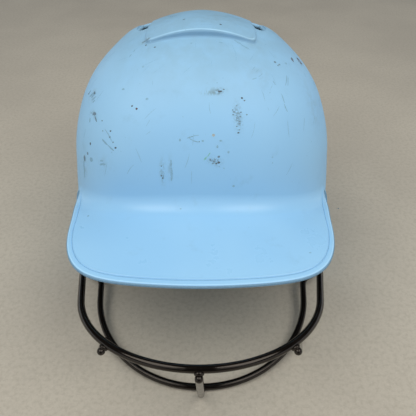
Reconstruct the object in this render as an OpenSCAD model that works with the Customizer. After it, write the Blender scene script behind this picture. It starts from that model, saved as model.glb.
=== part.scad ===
/* [Shell] */
// Width of the dome at the brow
shell_w = 218; // [200:1:236]
// From the middle of the dome forward to the brow
brow_reach = 102; // [96:1:110]
// From the middle of the dome back to the rear
rear_reach = 131; // [120:1:142]
// Height of the crown over the brow
crown_h = 109; // [98:1:120]
// Thickness of the moulded shell
wall = 3.2; // [2.5:0.1:5]
// How far the ear flaps swell out on each side
ear_swell = 6.5; // [4:0.5:9]
// How far the nape tucks in
nape_tuck = 5; // [0:0.5:9]
// Depth of the nape below the brow
nape_depth = 58; // [45:1:66]

/* [Bill] */
// Width of the bill
bill_w = 203; // [198:1:214]
// How far the bill stands ahead of the brow
bill_reach = 66; // [54:1:72]
// Slope of the bill in the middle, in degrees
bill_slope = 20.5; // [14:0.5:30]
// Length of the curve that turns the brow into the bill
brow_curve = 18; // [12:1:24]
// How much lower the brow lies at the temples
temple_drop = 23; // [14:1:28]

/* [Crown panel] */
// Half width of the raised panel
panel_half_w = 41.5; // [36:0.5:54]
// From the middle of the dome forward to the panel's lip
panel_front = 43.5; // [30:0.5:54]
// From the middle of the dome back to the panel's tail
panel_back = 88; // [70:1:100]
// Height of the panel's step in the middle
panel_step = 4.2; // [2:0.2:6]
// Length of each side vent
vent_l = 34; // [20:1:44]
// Width of each side vent
vent_w = 9; // [6:0.5:12]

/* [Ear flaps] */
// Depth of the table below the brow, under the middle of the dome
table_drop = 112; // [110:1:118]
// How far the helmet leans back on a table, in degrees
lean = 11; // [9:0.5:13]
// Diameter of the ear hole
ear_hole_d = 34; // [26:1:38]
// Depth of the ear hole's middle below the brow
ear_hole_depth = 62; // [58:1:66]

/* [Face guard] */
// Thickness of the coated wire
wire_d = 5.4; // [4.6:0.1:6.4]
// Radius of the upper bar's bow
upper_bow = 90.5; // [86:0.5:94]
// How far the upper bar stands ahead of the bill's edge
upper_ahead = 42; // [34:1:50]
// Depth of the upper bar below the brow
upper_depth = 64; // [58:1:70]
// Slope of the upper bar down to the back, in degrees
upper_slope = 5; // [2:0.5:8]
// Sweep of the upper bow to one side, in degrees
upper_sweep = 79; // [74:1:82]
// Radius of the lower bar's bow
lower_bow = 91.5; // [86:0.5:94]
// Sweep of the lower bow to one side, in degrees
lower_sweep = 84; // [78:1:86]
// How far the lower bar lies behind the upper bar
lower_behind = 52.5; // [44:0.5:60]
// Slope of the lower bar up to the back, in degrees
lower_slope = 16; // [13:0.5:18]
// Place of the side struts along the upper bow, in degrees
strut_upper_at = 42; // [36:1:50]
// Place of the side struts along the lower bow, in degrees
strut_lower_at = 57; // [50:1:62]

/* [Clips and screws] */
// Thickness of the clip's strap
strap_t = 1.4; // [1:0.1:1.8]
// Width of the clip's strap
strap_w = 11; // [9:0.5:13]
// From the clip's screw to the wire
clip_arm = 11; // [10:0.5:13]
// Depth of the upper clip's screw below the brow
upper_clip_depth = 66; // [64:0.5:69]
// Distance from the upper clip's screw down to the lower clip's
clip_spacing = 28.5; // [25:0.5:30]
// Place of the clips round the shell from the front, in degrees
clip_at = 66.5; // [65:0.5:68]
// Diameter of the screw's thread
screw_d = 4; // [3:0.5:5]

/* [Chin strap studs] */
// Diameter of the stud that the strap snaps onto
stud_d = 7; // [5:0.5:9]
// Length of the stud
stud_l = 4; // [3:0.5:5]
// Depth of the studs below the brow
stud_depth = 97; // [95:0.5:99]
// Place of the studs round the shell from the front, in degrees
stud_at = 86; // [80:1:92]

/* [Padding] */
// Thickness of the foam liner
liner_t = 13; // [8:0.5:16]
// Thickness of the comfort pads in the middle
pad_t = 9; // [6:0.5:12]
// Thickness of the ear pads in the middle
ear_pad_t = 14; // [9:0.5:17]
// Gap between soft pieces and what they are stuck to
seat_gap = 0.4; // [0.3:0.05:0.7]
// Gap between neighbouring pads, in degrees round the head
pad_split = 6; // [4:0.5:9]

/* [Hidden] */

shell_blue = "#8fc0e6";
wire_black = "#17171a";
foam_grey = "#2c2d30";
cloth_black = "#1b1b1e";
steel = "#b9bcc0";
wire_r = wire_d / 2;

// Dome and walls. An angle th goes round from the front and is plus on the wearer's left.
// A height v runs along the surface from the brow, minus up to the crown and plus downward.
dome_arc = 168;
plan_front = 2.26;
plan_back = 2.05;
dome_power = 2.24;
bill_square = 7;
bill_bow = 0.26;
arch_out = 24;
swell_from = 44;
swell_run = 50;
nape_run = 60;
flare_from = 60;
flare_to = 76;

function smooth(x) = let(t = min(max(x, 0), 1)) t * t * (3 - 2 * t);
function unit(a) = a / norm(a);
function plan_r(th, off) =
    let(n = cos(th) > 0 ? plan_front : plan_back,
        b = (cos(th) > 0 ? brow_reach : rear_reach) - off,
        a = shell_w / 2 - off)
    pow(pow(abs(sin(th)) / a, n) + pow(abs(cos(th)) / b, n), -1 / n);
function brow_level(th) = temple_drop * pow(sin(th), 2);
function flare_angle(th, fl) = max((90 - bill_slope + arch_out * pow(sin(th), 2)) * fl, 0.01);
function swell(th, v) =
    ear_swell * smooth((v + swell_from) / (swell_from + swell_run)) * pow(sin(th), 4)
    - (cos(th) < 0 ? nape_tuck * smooth(v / nape_run) * pow(cos(th), 2) : 0);
// The panel's edge as a radius in plan, with square corners at the front. Its step is highest
// in the middle and fades to the sides and toward the tail. A low swelling stands beside
// each vent.
panel_square = 14;
panel_round = 3;
panel_fall = 0.68;
panel_ease = 0.2;
fade_from = 20;
fade_run = 60;
function panel_r(th) =
    let(front = cos(th) > 0, d = front ? panel_front : panel_back, n = front ? panel_square : panel_round)
    pow(pow(abs(sin(th)) / panel_half_w, n) + pow(abs(cos(th)) / d, n), -1 / n);
function eased(u) = norm([u, panel_ease]) - panel_ease;
function panel_rise(th, r) =
    panel_step * (1 - smooth((-r * cos(th) - fade_from) / fade_run))
    * (1 - panel_fall * eased(min(abs(r * sin(th)) / panel_half_w, 1)) / eased(1));
vent_x = panel_half_w + vent_w / 2 - 0.5;
vent_y = 2;
vent_lip = 2.4;
rib_off = 8.5;
rib_half_w = 14;
rib_half_l = 22;
function vent_rise(th, r) =
    vent_lip * exp(-pow((abs(r * sin(th)) - vent_x - rib_off) / rib_half_w, 2)
        - pow((-r * cos(th) - vent_y) / rib_half_l, 2));
function dome_point(th, k, c, off) =
    let(r = plan_r(th, off) * k) [r * sin(th), -r * cos(th), (crown_h - off) * c];
function skin(th, v, off, fl = 0, rise = 0) =
    v < 0
    ? let(al = 90 * max(1 + v / dome_arc, 0), q = 2 / dome_power,
          p = dome_point(th, pow(sin(al), q), pow(cos(al), q), off - rise),
          s = swell(th, v))
      [p[0] + s * sin(th), p[1] - s * cos(th), p[2]]
    : let(ph = flare_angle(th, fl),
          u = max(v - brow_level(th), 0) * (fl > 0 ? 1 : 0),
          q = min(u / brow_curve, 1) * ph,
          run = brow_curve * 180 / PI / ph,
          out = run * (1 - cos(q)) + max(u - brow_curve, 0) * sin(ph),
          down = run * sin(q) + max(u - brow_curve, 0) * cos(ph),
          r = plan_r(th, off) + swell(th, v) + out + off * (1 - cos(q)),
          z = -(v - u) - down - off * sin(q))
      [r * sin(th), -r * cos(th), z];
function skin_normal(th, v) =
    unit(cross(skin(th + 1, v, 0) - skin(th - 1, v, 0), skin(th, v - 1, 0) - skin(th, v + 1, 0)));

// Lower edge of the shell, from the front round to the back, as pairs of angle and height
flap_turn = 66;
bill_d = brow_reach + bill_reach;
bill_root = 4;
root_from = 44;
root_run = 18;
function flare(th) = 1 - smooth((abs(th) - flare_from) / (flare_to - flare_from));
function bill_plan(th) =
    let(half = bill_w / 2 + bill_root * smooth((abs(th) - root_from) / root_run))
    pow(pow(abs(sin(th)) / half, bill_square)
        + pow(abs(cos(th)) / bill_d / (1 - bill_bow * pow(sin(th), 2)), bill_square),
        -1 / bill_square);
function bill_edge(th) =
    let(ph = flare_angle(th, flare(th)),
        run = brow_curve * 180 / PI / ph,
        reach = max(bill_plan(th) - plan_r(th, 0) - swell(th, 20), 0),
        turned = run * (1 - cos(ph)))
    brow_level(th) + (reach < turned
        ? acos(1 - reach / run) / ph * brow_curve
        : brow_curve + (reach - turned) / sin(ph));
// Height at which the wall at th and depth off meets the table's plane
function table_height(th, off) =
    let(r = plan_r(th, off) + ear_swell * pow(sin(th), 4)
            - (cos(th) < 0 ? nape_tuck * pow(cos(th), 2) : 0))
    table_drop + r * cos(th) * tan(lean);
function bezier(a, b, c, d, t) =
    pow(1 - t, 3) * a + 3 * pow(1 - t, 2) * t * b + 3 * (1 - t) * t * t * c + pow(t, 3) * d;
cheek_at = 58.5;
cheek_height = 82;
flap_front = 72;
flap_back = 106;
nape_at = 140;
function half_edge(off) =
    let(notch = [flap_turn, bill_edge(flap_turn)],
        cheek = [cheek_at, cheek_height],
        toe = [flap_front, table_height(flap_front, off)],
        heel = [flap_back, table_height(flap_back, off)],
        nape = [nape_at, nape_depth + 3])
    concat(
        [for (i = [0:bill_cols]) let(th = flap_turn * i / bill_cols) [th, bill_edge(th), th]],
        [for (i = [1:notch_cols])
            let(t = i / notch_cols,
                p = bezier(notch, notch + [9, 1], cheek + [6, -26], cheek, t))
            [p[0], p[1], flap_turn + 12 * t]],
        [for (i = [1:toe_cols])
            let(t = i / toe_cols,
                p = bezier(cheek, cheek + [-2.5, 14], toe - [6.5, -1.4], toe, t))
            [p[0], p[1], flap_turn + 12 + 7 * t]],
        [for (i = [1:sole_cols])
            let(t = i / sole_cols, th = flap_front + (flap_back - flap_front) * t)
            [th, table_height(th, off), flap_turn + 19 + (flap_back - flap_turn - 19) * t]],
        [for (i = [1:heel_cols])
            let(t = i / heel_cols,
                p = bezier(heel, [flap_back + 13, table_height(flap_back + 13, off)],
                    nape - [16, -4], nape, t))
            [p[0], p[1], p[0]]],
        [for (i = [1:nape_cols])
            let(t = i / nape_cols)
            [nape_at + (180 - nape_at) * t, nape_depth + 3 * (1 - smooth(t)), nape_at + (180 - nape_at) * t]]);
bill_cols = 16;
notch_cols = 5;
toe_cols = 4;
sole_cols = 6;
heel_cols = 5;
nape_cols = 5;
panel_rows = 4;
dome_rows = 7;
low_rows = 8;

// One column of the shell, from the crown to its lower edge
function shell_column(edge, side, off) =
    let(th0 = edge[2],
        fl = th0 < flare_to ? flare(th0) : 0,
        q = dome_power / 2,
        at_edge = asin(pow(panel_r(th0) / plan_r(th0, 0), q)) / 90,
        band = 0.012,
        reach = plan_r(th0, 0))
    [for (i = [1:panel_rows])
        let(f = (at_edge - band) * i / panel_rows)
        skin(side * th0, (f - 1) * dome_arc, off, 0, panel_rise(th0, reach * pow(sin(90 * f), 1 / q))),
     for (i = [0:dome_rows])
        let(f = at_edge + band + (1 - at_edge - band) * pow(i / dome_rows, 1.15))
        skin(side * th0, (f - 1) * dome_arc, off, 0, vent_rise(th0, reach * pow(sin(90 * f), 1 / q))),
     for (i = [1:low_rows])
        let(w = i / low_rows)
        skin(side * (th0 + (edge[0] - th0) * pow(w, 2.2)), edge[1] * w, off, fl)];
function shell_columns(off) =
    let(half = half_edge(off), n = len(half) - 1)
    concat([for (i = [0:n]) shell_column(half[i], 1, off)],
        [for (i = [n - 1:-1:1]) shell_column(half[i], -1, off)]);

// Closed skin between two sets of columns that start at one point each
module capped_skin(outer, inner, outer_pole, inner_pole) {
    n = len(outer);
    m = len(outer[0]);
    points = concat([for (c = outer) each c], [for (c = inner) each c], [outer_pole, inner_pole]);
    far = n * m;
    faces = [for (i = [0:n - 1])
        let(a = i * m, b = (i + 1) % n * m)
        each concat(
            [[2 * far, b, a], [2 * far + 1, far + a, far + b]],
            [for (j = [0:m - 2]) each [
                [a + j, b + j, a + j + 1],
                [b + j, b + j + 1, a + j + 1],
                [far + a + j, far + a + j + 1, far + b + j],
                [far + b + j, far + a + j + 1, far + b + j + 1]]],
            [[a + m - 1, b + m - 1, far + a + m - 1],
                [b + m - 1, far + b + m - 1, far + a + m - 1]])];
    polyhedron(points, faces);
}

// Puts children on the outer skin with Z outward and X toward the back
module on_skin(th, v) {
    p = skin(th, v, 0);
    z = skin_normal(th, v);
    x = unit(skin(th + sign(th), v, 0) - skin(th - sign(th), v, 0));
    y = cross(z, x);
    multmatrix([[x[0], y[0], z[0], p[0]], [x[1], y[1], z[1], p[1]], [x[2], y[2], z[2], p[2]]])
        children();
}
// Stands the helmet on the table and centres it
frame_z = table_drop * cos(lean);
module seated() {
    translate([0, frame_y, frame_z]) rotate([-lean, 0, 0]) children();
}
module both_sides() {
    children();
    mirror([1, 0, 0]) children();
}

// Distance along the skin at which the dome has a given radius in plan
function dome_height(th, r) =
    (asin(pow(r / plan_r(th, 0), dome_power / 2)) / 90 - 1) * dome_arc;

ear_at = 93;
nut_hole_d = screw_d + 2.6;
rivet_hole_d = 3.6;
module vent_slot() {
    th = atan2(vent_x, -vent_y);
    on_skin(th, dome_height(th, norm([vent_x, vent_y])))
        for (end = [-1, 1]) {
            translate([end * (vent_l - vent_w) / 2, 0, 0])
                cylinder(h = 40, d = vent_w, center = true, $fn = 48);
            cube([vent_l - vent_w, vent_w, 40], center = true);
        }
}
module shell() {
    color(shell_blue) seated() difference() {
        capped_skin(shell_columns(0), shell_columns(wall),
            skin(0, -dome_arc, 0, 0, panel_step), skin(0, -dome_arc, wall, 0, panel_step));
        both_sides() {
            vent_slot();
            on_skin(ear_at, ear_hole_depth)
                cylinder(h = 40, d = ear_hole_d, center = true, $fn = 64);
            for (depth = [upper_clip_depth, lower_clip_depth])
                on_skin(clip_at, depth) cylinder(h = 20, d = nut_hole_d, center = true, $fn = 32);
            on_skin(stud_at, stud_depth)
                cylinder(h = 20, d = rivet_hole_d, center = true, $fn = 32);
        }
    }
}

// Padding. The liner has one thickness, and each pad on it swells in the middle.
liner_off = wall + seat_gap;
pad_off = liner_off + liner_t + seat_gap;
liner_top = -92;
liner_foot = 14;
rear_foot = 40;
side_from = 50;
side_to = 112;
crown_edge = -132;
crown_pad_in = 10;
forehead_top = -46;
forehead_foot = 2;
nape_top = -34;
temple_top = -54;
foot_in = 6;
end_in = 4;
nape_end_in = 8;

function corner_in(t, part) = let(e = min(min(t, 1 - t) / part, 1)) 1 - sqrt(1 - pow(1 - e, 2));
function dome_swell(u, w) = (1 - pow(abs(2 * u - 1), 4)) * (1 - pow(abs(2 * w - 1), 4));

// Closed pad between th_a and th_b round the head and v_a and v_b down it
module wrapped_pad(th_a, th_b, v_a, v_b, off, edge_t, mid_t, cols = 12, rows = 8) {
    mid = (th_a + th_b) / 2;
    v_mid = (v_a + v_b) / 2;
    drawn = 0.95;
    grid = [for (face = [0, 1]) for (j = [0:rows]) for (i = [0:cols])
        let(u = i / cols,
            w = j / rows,
            half = (th_b - th_a) / 2 * (1 - 0.16 * corner_in(w, 0.3)),
            pull = face == 1 ? drawn : 1,
            th = mid + half * (2 * u - 1) * pull,
            v = v_mid + (v_b - v_a) / 2 * (2 * w - 1) * pull * (1 - 0.1 * corner_in(u, 0.25)),
            t = face * (edge_t + (mid_t - edge_t) * dome_swell(u, w)))
        skin(th, v, off + t)];
    row = cols + 1;
    far = row * (rows + 1);
    faces = concat(
        [for (j = [0:rows - 1]) for (i = [0:cols - 1])
            let(a = j * row + i, b = a + row)
            each [[a, a + 1, b], [b, a + 1, b + 1],
                [far + a, far + b, far + a + 1], [far + b, far + b + 1, far + a + 1]]],
        [for (i = [0:cols - 1])
            let(a = i, b = rows * row + i)
            each [[a, far + a, a + 1], [a + 1, far + a, far + a + 1],
                [b + 1, far + b, b], [b + 1, far + b + 1, far + b]]],
        [for (j = [0:rows - 1])
            let(a = j * row, b = a + row, c = a + cols, d = c + row)
            each [[b, far + a, a], [b, far + b, far + a],
                [c, far + c, d], [d, far + c, far + d]]]);
    polyhedron(grid, faces);
}
// Round pad under the crown, from the pole down to v_b
module crown_disc(v_b, off, edge_t, mid_t, cols = 32, rows = 5) {
    function column(th, face) = [for (j = [1:rows])
        let(w = j / rows,
            v = -dome_arc + (v_b + dome_arc) * w * (face == 1 ? 0.95 : 1),
            t = edge_t + (mid_t - edge_t) * (1 - pow(w, 4)))
        skin(th, v, off + face * t)];
    capped_skin([for (i = [0:cols - 1]) column(360 / cols * i - 180 + 0.01, 0)],
        [for (i = [0:cols - 1]) column(360 / cols * i - 180 + 0.01, 1)],
        skin(0, -dome_arc, off), skin(0, -dome_arc, off + mid_t));
}
module liner_piece(th_a, th_b, foot) {
    color(foam_grey) seated()
        wrapped_pad(th_a, th_b, liner_top, foot, liner_off, liner_t, liner_t,
            round((th_b - th_a) / 6), 11);
}
module comfort_pad(th_a, th_b, v_a, v_b) {
    color(cloth_black) seated() wrapped_pad(th_a, th_b, v_a, v_b, pad_off, pad_t * 0.4, pad_t,
        round((th_b - th_a) / 7), 8);
}
module crown_liner() { color(foam_grey) seated() crown_disc(crown_edge, liner_off, liner_t, liner_t); }
module front_liner() { liner_piece(pad_split - side_from, side_from - pad_split, liner_foot); }
module rear_liner() { liner_piece(side_to + pad_split, 360 - side_to - pad_split, rear_foot); }
module left_liner() { liner_piece(side_from, side_to, liner_foot); }
module right_liner() { liner_piece(-side_to, -side_from, liner_foot); }
module crown_pad() { color(cloth_black) seated() crown_disc(crown_edge - crown_pad_in, pad_off, pad_t * 0.4, pad_t); }
module forehead_pad() {
    comfort_pad(pad_split - side_from + end_in, side_from - pad_split - end_in, forehead_top, forehead_foot);
}
module nape_pad() {
    comfort_pad(side_to + pad_split + nape_end_in, 360 - side_to - pad_split - nape_end_in,
        nape_top, rear_foot - foot_in);
}
module left_temple_pad() {
    comfort_pad(side_from + end_in, side_to - end_in, temple_top, liner_foot - foot_in);
}
module right_temple_pad() {
    comfort_pad(end_in - side_to, -side_from - end_in, temple_top, liner_foot - foot_in);
}
ear_pad_from = 73;
ear_pad_to = 113;
ear_pad_top = 29;
rivet_clear = 3.5;
ear_pad_foot = stud_depth - stud_d / 2 - 1 - rivet_clear;
module ear_pad() {
    difference() {
        wrapped_pad(ear_pad_from, ear_pad_to, ear_pad_top, ear_pad_foot, liner_off,
            ear_pad_t * 0.45, ear_pad_t, 14, 12);
        on_skin(ear_at, ear_hole_depth)
            cylinder(h = 90, d = ear_hole_d + 4, center = true, $fn = 64);
    }
}
module left_ear_pad() { color(cloth_black) seated() ear_pad(); }
module right_ear_pad() { color(cloth_black) seated() mirror([1, 0, 0]) ear_pad(); }

// Face guard. Each bar is a round bow in its own sloped plane, with a straight leg on each
// side that ends under a clip on the ear flap.
weld_gap = 0.15;
strut_over = 1;
strut_short = 1;
clip_seat = 0.2;
clip_fit = 0.15;
leg_lead = 10;
leg_tail = 9;
bend_swell = 0.06;
lower_run = 22;
upper_start = [0, -bill_d - upper_ahead, -upper_depth];
lower_y = upper_start[1] + lower_behind;
lower_start = [0, lower_y, -table_drop + lower_y * tan(lean) + wire_r / cos(lean)];
wire_lift = clip_seat + strap_t + clip_fit + wire_r;
lower_clip_depth = upper_clip_depth + clip_spacing;
function on_bow(start, bow, slope, at) =
    let(s = bow * (1 - cos(at)))
    start + [bow * sin(at), s * cos(slope), -s * sin(slope)];
function bow_tangent(slope, at) = [cos(at), sin(at) * cos(slope), -sin(at) * sin(slope)];
function clip_wire(depth, along) =
    let(p = skin(clip_at, depth, 0),
        z = skin_normal(clip_at, depth),
        x = unit(skin(clip_at + 1, depth, 0) - skin(clip_at - 1, depth, 0)),
        y = cross(z, x))
    p + x * along - y * clip_arm + z * wire_lift;

module rod(a, b, r) {
    d = b - a;
    translate(a)
        rotate([0, acos(d[2] / norm(d)), atan2(d[1], d[0])])
            cylinder(h = norm(d), r = r, $fn = 32);
}
// One hoop of the guard: a bow round the face, then a leg on each side bent along its clip
module guard_bar(start, bow, sweep, slope, depth, run = 0) {
    translate(start) rotate([-slope, 0, 0]) translate([0, bow, 0]) rotate([0, 0, -90 - sweep])
        rotate_extrude(angle = 2 * sweep, $fn = 180)
            translate([bow, 0]) circle(r = wire_r, $fn = 32);
    both_sides() {
        bow_end = on_bow(start, bow, slope, sweep);
        bend = bow_end + bow_tangent(slope, sweep) * run;
        lead = clip_wire(depth, -leg_lead);
        if (run > 0) rod(bow_end, bend, wire_r);
        rod(bend, lead, wire_r);
        rod(lead, clip_wire(depth, leg_tail), wire_r);
        for (p = [bow_end, bend, lead]) translate(p) sphere(r = wire_r + bend_swell, $fn = 32);
    }
}
module upper_bar() {
    color(wire_black) seated() guard_bar(upper_start, upper_bow, upper_sweep, upper_slope, upper_clip_depth);
}
module lower_bar() {
    color(wire_black) seated()
        guard_bar(lower_start, lower_bow, lower_sweep, -lower_slope, lower_clip_depth, lower_run);
}
// Strut across the outside of both bars, welded where it passes them
function strut_ends(upper_at, lower_at) =
    let(p = on_bow(upper_start, upper_bow, upper_slope, upper_at),
        q = on_bow(lower_start, lower_bow, -lower_slope, lower_at),
        w = unit(q - p),
        n = unit(cross(w, bow_tangent(upper_slope, upper_at))),
        m = unit(cross(w, bow_tangent(-lower_slope, lower_at))),
        off = wire_d + weld_gap)
    [p - n * off * sign(n[1]) - w * strut_over, q - m * off * sign(m[1]) - w * strut_short];
module strut(upper_at, lower_at) {
    ends = strut_ends(upper_at, lower_at);
    color(wire_black) seated() rod(ends[0], ends[1], wire_r);
}
module centre_strut() { strut(0, 0); }
module left_strut() { strut(strut_upper_at, strut_lower_at); }
module right_strut() { mirror([1, 0, 0]) strut(strut_upper_at, strut_lower_at); }

// Clips, screws, washers and nuts, each drawn about its screw with Z away from the shell
stack = clip_seat + 2 * strap_t;
washer_t = 0.8;
washer_d = 9.5;
head_d = 8;
head_h = 2.6;
module clip() {
    ring = wire_r + clip_fit;
    difference() {
        rotate([90, 0, 90]) linear_extrude(height = strap_w, center = true) difference() {
            union() {
                translate([-clip_arm, wire_lift]) circle(r = ring + strap_t, $fn = 48);
                translate([-clip_arm, clip_seat]) square([clip_arm + strap_w / 2, 2 * strap_t]);
            }
            translate([-clip_arm, wire_lift]) circle(r = ring, $fn = 48);
        }
        cylinder(h = 30, d = screw_d + 0.5, center = true, $fn = 32);
    }
}
module at_clip(depth) { seated() on_skin(clip_at, depth) children(); }
module each_screw() {
    both_sided_seat() for (depth = [upper_clip_depth, lower_clip_depth])
        on_skin(clip_at, depth) children();
}
module both_sided_seat() { seated() both_sides() children(); }
module upper_left_clip() { color(wire_black) at_clip(upper_clip_depth) clip(); }
module upper_right_clip() { color(wire_black) mirror([1, 0, 0]) at_clip(upper_clip_depth) clip(); }
module lower_left_clip() { color(wire_black) at_clip(lower_clip_depth) clip(); }
module lower_right_clip() { color(wire_black) mirror([1, 0, 0]) at_clip(lower_clip_depth) clip(); }
module screw() {
    base = stack + washer_t + 0.1;
    difference() {
        union() {
            translate([0, 0, base]) cylinder(h = head_h * 0.6, d = head_d, $fn = 40);
            translate([0, 0, base + head_h * 0.6])
                cylinder(h = head_h * 0.4, d1 = head_d, d2 = head_d * 0.66, $fn = 40);
            translate([0, 0, -wall - 0.8]) cylinder(h = wall + 0.8 + base + 1, d = screw_d, $fn = 32);
        }
        for (a = [0, 90]) rotate([0, 0, a])
            translate([-head_d * 0.29, -0.5, base + head_h - 1.5]) cube([head_d * 0.58, 1, 2]);
    }
}
module washer() {
    translate([0, 0, stack + 0.05]) difference() {
        cylinder(h = washer_t, d = washer_d, $fn = 40);
        translate([0, 0, -1]) cylinder(h = 3, d = screw_d + 0.4, $fn = 32);
    }
}
module barrel_nut() {
    flange_t = 1.2;
    sink = 0.35;
    translate([0, 0, -wall - sink - flange_t]) difference() {
        union() {
            cylinder(h = flange_t, d = nut_hole_d + 6, $fn = 40);
            cylinder(h = flange_t + sink + wall - 0.3, d = nut_hole_d - 0.4, $fn = 40);
        }
        translate([0, 0, -1]) cylinder(h = wall + 5, d = screw_d + 0.3, $fn = 32);
    }
}
module guard_screws() { color(steel) each_screw() screw(); }
module guard_washers() { color(steel) each_screw() washer(); }
module guard_nuts() { color(steel) each_screw() barrel_nut(); }

// Studs that a chin strap snaps onto, each held by a rivet from inside
stud_base = 1.2;
module strap_studs() {
    color(steel) both_sided_seat() on_skin(stud_at, stud_depth) difference() {
        union() {
            translate([0, 0, 0.25]) cylinder(h = stud_base, d = stud_d + 4, $fn = 40);
            translate([0, 0, 0.25]) cylinder(h = stud_base + stud_l, d = stud_d, $fn = 48);
        }
        cylinder(h = 2.4, d = rivet_hole_d, $fn = 32);
    }
}
module stud_rivets() {
    color(steel) both_sided_seat() on_skin(stud_at, stud_depth) {
        translate([0, 0, -wall - 1.3]) cylinder(h = 1, d = stud_d + 2, $fn = 40);
        translate([0, 0, -wall - 1.3]) cylinder(h = wall + 3.5, d = rivet_hole_d - 0.3, $fn = 32);
    }
}

// Place of the helmet along Y, which puts the middle of its length over the origin
strut_front = strut_ends(0, 0);
function leaned_y(p) = p[1] * cos(lean) + p[2] * sin(lean);
strut_dir = unit(strut_front[1] - strut_front[0]);
front_y = leaned_y(strut_front[0])
    - wire_r * sqrt(1 - pow(strut_dir[1] * cos(lean) + strut_dir[2] * sin(lean), 2));
rear_y = norm([rear_reach * cos(lean), crown_h * sin(lean)]);
frame_y = -(front_y + rear_y) / 2;

shell();
crown_liner();
front_liner();
rear_liner();
left_liner();
right_liner();
crown_pad();
forehead_pad();
nape_pad();
left_temple_pad();
right_temple_pad();
left_ear_pad();
right_ear_pad();
upper_bar();
lower_bar();
centre_strut();
left_strut();
right_strut();
upper_left_clip();
upper_right_clip();
lower_left_clip();
lower_right_clip();
guard_screws();
guard_washers();
guard_nuts();
strap_studs();
stud_rivets();
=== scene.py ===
import bmesh
import bpy
import math
import random
import numpy as np
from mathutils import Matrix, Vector


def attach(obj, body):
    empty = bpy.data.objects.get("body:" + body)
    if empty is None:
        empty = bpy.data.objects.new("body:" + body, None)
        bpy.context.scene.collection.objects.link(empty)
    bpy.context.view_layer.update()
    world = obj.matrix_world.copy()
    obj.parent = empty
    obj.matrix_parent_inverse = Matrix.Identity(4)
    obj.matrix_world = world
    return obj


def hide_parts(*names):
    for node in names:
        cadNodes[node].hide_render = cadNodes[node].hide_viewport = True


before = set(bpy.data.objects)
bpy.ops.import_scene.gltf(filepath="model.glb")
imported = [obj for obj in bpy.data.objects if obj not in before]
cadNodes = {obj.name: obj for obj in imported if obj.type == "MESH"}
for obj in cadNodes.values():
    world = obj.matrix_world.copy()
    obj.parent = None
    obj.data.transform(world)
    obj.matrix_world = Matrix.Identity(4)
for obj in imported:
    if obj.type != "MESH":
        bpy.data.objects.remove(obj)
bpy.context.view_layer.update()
print("stage: packed frame loaded")


# surface of the shell
# Sizes are in mm in the helmet's own frame: front is -Y, the brow is z = 0, and the
# helmet is leaned back and lifted onto the table by seat(). A place on the skin is an
# angle from the front and a height, which is negative above the brow.
form = {
    "shellW": 218, "browReach": 102, "rearReach": 131, "crownH": 109, "wall": 3.2,
    "earSwell": 6.5, "napeTuck": 5, "napeDepth": 58,
    "billW": 203, "billReach": 66, "billSlope": 20.5, "browCurve": 18, "templeDrop": 23,
    "panelHalfW": 41.5, "panelFront": 43.5, "panelBack": 88, "panelStep": 4.2, "panelSquare": 14,
    "panelRound": 3, "panelFall": 0.68, "panelEase": 0.2, "fadeFrom": 20, "fadeRun": 60,
    "ventL": 34, "ventW": 9, "ventY": 2, "ventIn": 0.5,
    "ventLip": 2.4, "ribOff": 8.5, "ribHalfW": 14, "ribHalfL": 22,
    "earAt": 93, "earDepth": 62, "earHoleR": 17, "studAt": 86, "studDepth": 97,
    "clipAt": 66.5, "upperClip": 66, "lowerClip": 94.5,
    "tableDrop": 112, "lean": 11, "seatY": 48.023,
    "domeArc": 168, "domePower": 2.24, "planFront": 2.26, "planBack": 2.05,
    "billSquare": 7, "billBow": 0.26, "billRoot": 4, "rootFrom": 44, "rootRun": 18, "archOut": 24,
    "swellFrom": 44, "swellRun": 50, "billSwellAt": 20, "napeRun": 60,
    "flareFrom": 60, "flareTo": 76, "flapTurn": 66, "cheekAt": 58.5, "cheekHeight": 82,
    "flapFront": 72, "flapBack": 106, "napeAt": 140,
}
ventX = form["panelHalfW"] + form["ventW"] / 2 - form["ventIn"]


def sind(a):
    return np.sin(np.radians(a))


def cosd(a):
    return np.cos(np.radians(a))


def smooth(x):
    t = np.clip(x, 0, 1)
    return t * t * (3 - 2 * t)


def unit(a):
    return a / np.linalg.norm(a, axis=-1, keepdims=True)


# shares of a length after each of some even steps
def steps(count):
    return np.linspace(0, 1, count + 1)[1:]


def planR(th, off=0.0):
    front = cosd(th) > 0
    n = np.where(front, form["planFront"], form["planBack"])
    b = np.where(front, form["browReach"], form["rearReach"]) - off
    a = form["shellW"] / 2 - off
    return ((np.abs(sind(th)) / a) ** n + (np.abs(cosd(th)) / b) ** n) ** (-1 / n)


def browLevel(th):
    return form["templeDrop"] * sind(th) ** 2


def flareAngle(th, fl):
    return np.maximum((90 - form["billSlope"] + form["archOut"] * sind(th) ** 2) * fl, 0.01)


def swell(th, v):
    low = smooth((v + form["swellFrom"]) / (form["swellFrom"] + form["swellRun"]))
    side = form["earSwell"] * low * sind(th) ** 4
    rear = np.where(cosd(th) < 0, form["napeTuck"] * smooth(v / form["napeRun"]) * cosd(th) ** 2, 0)
    return side - rear


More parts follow.
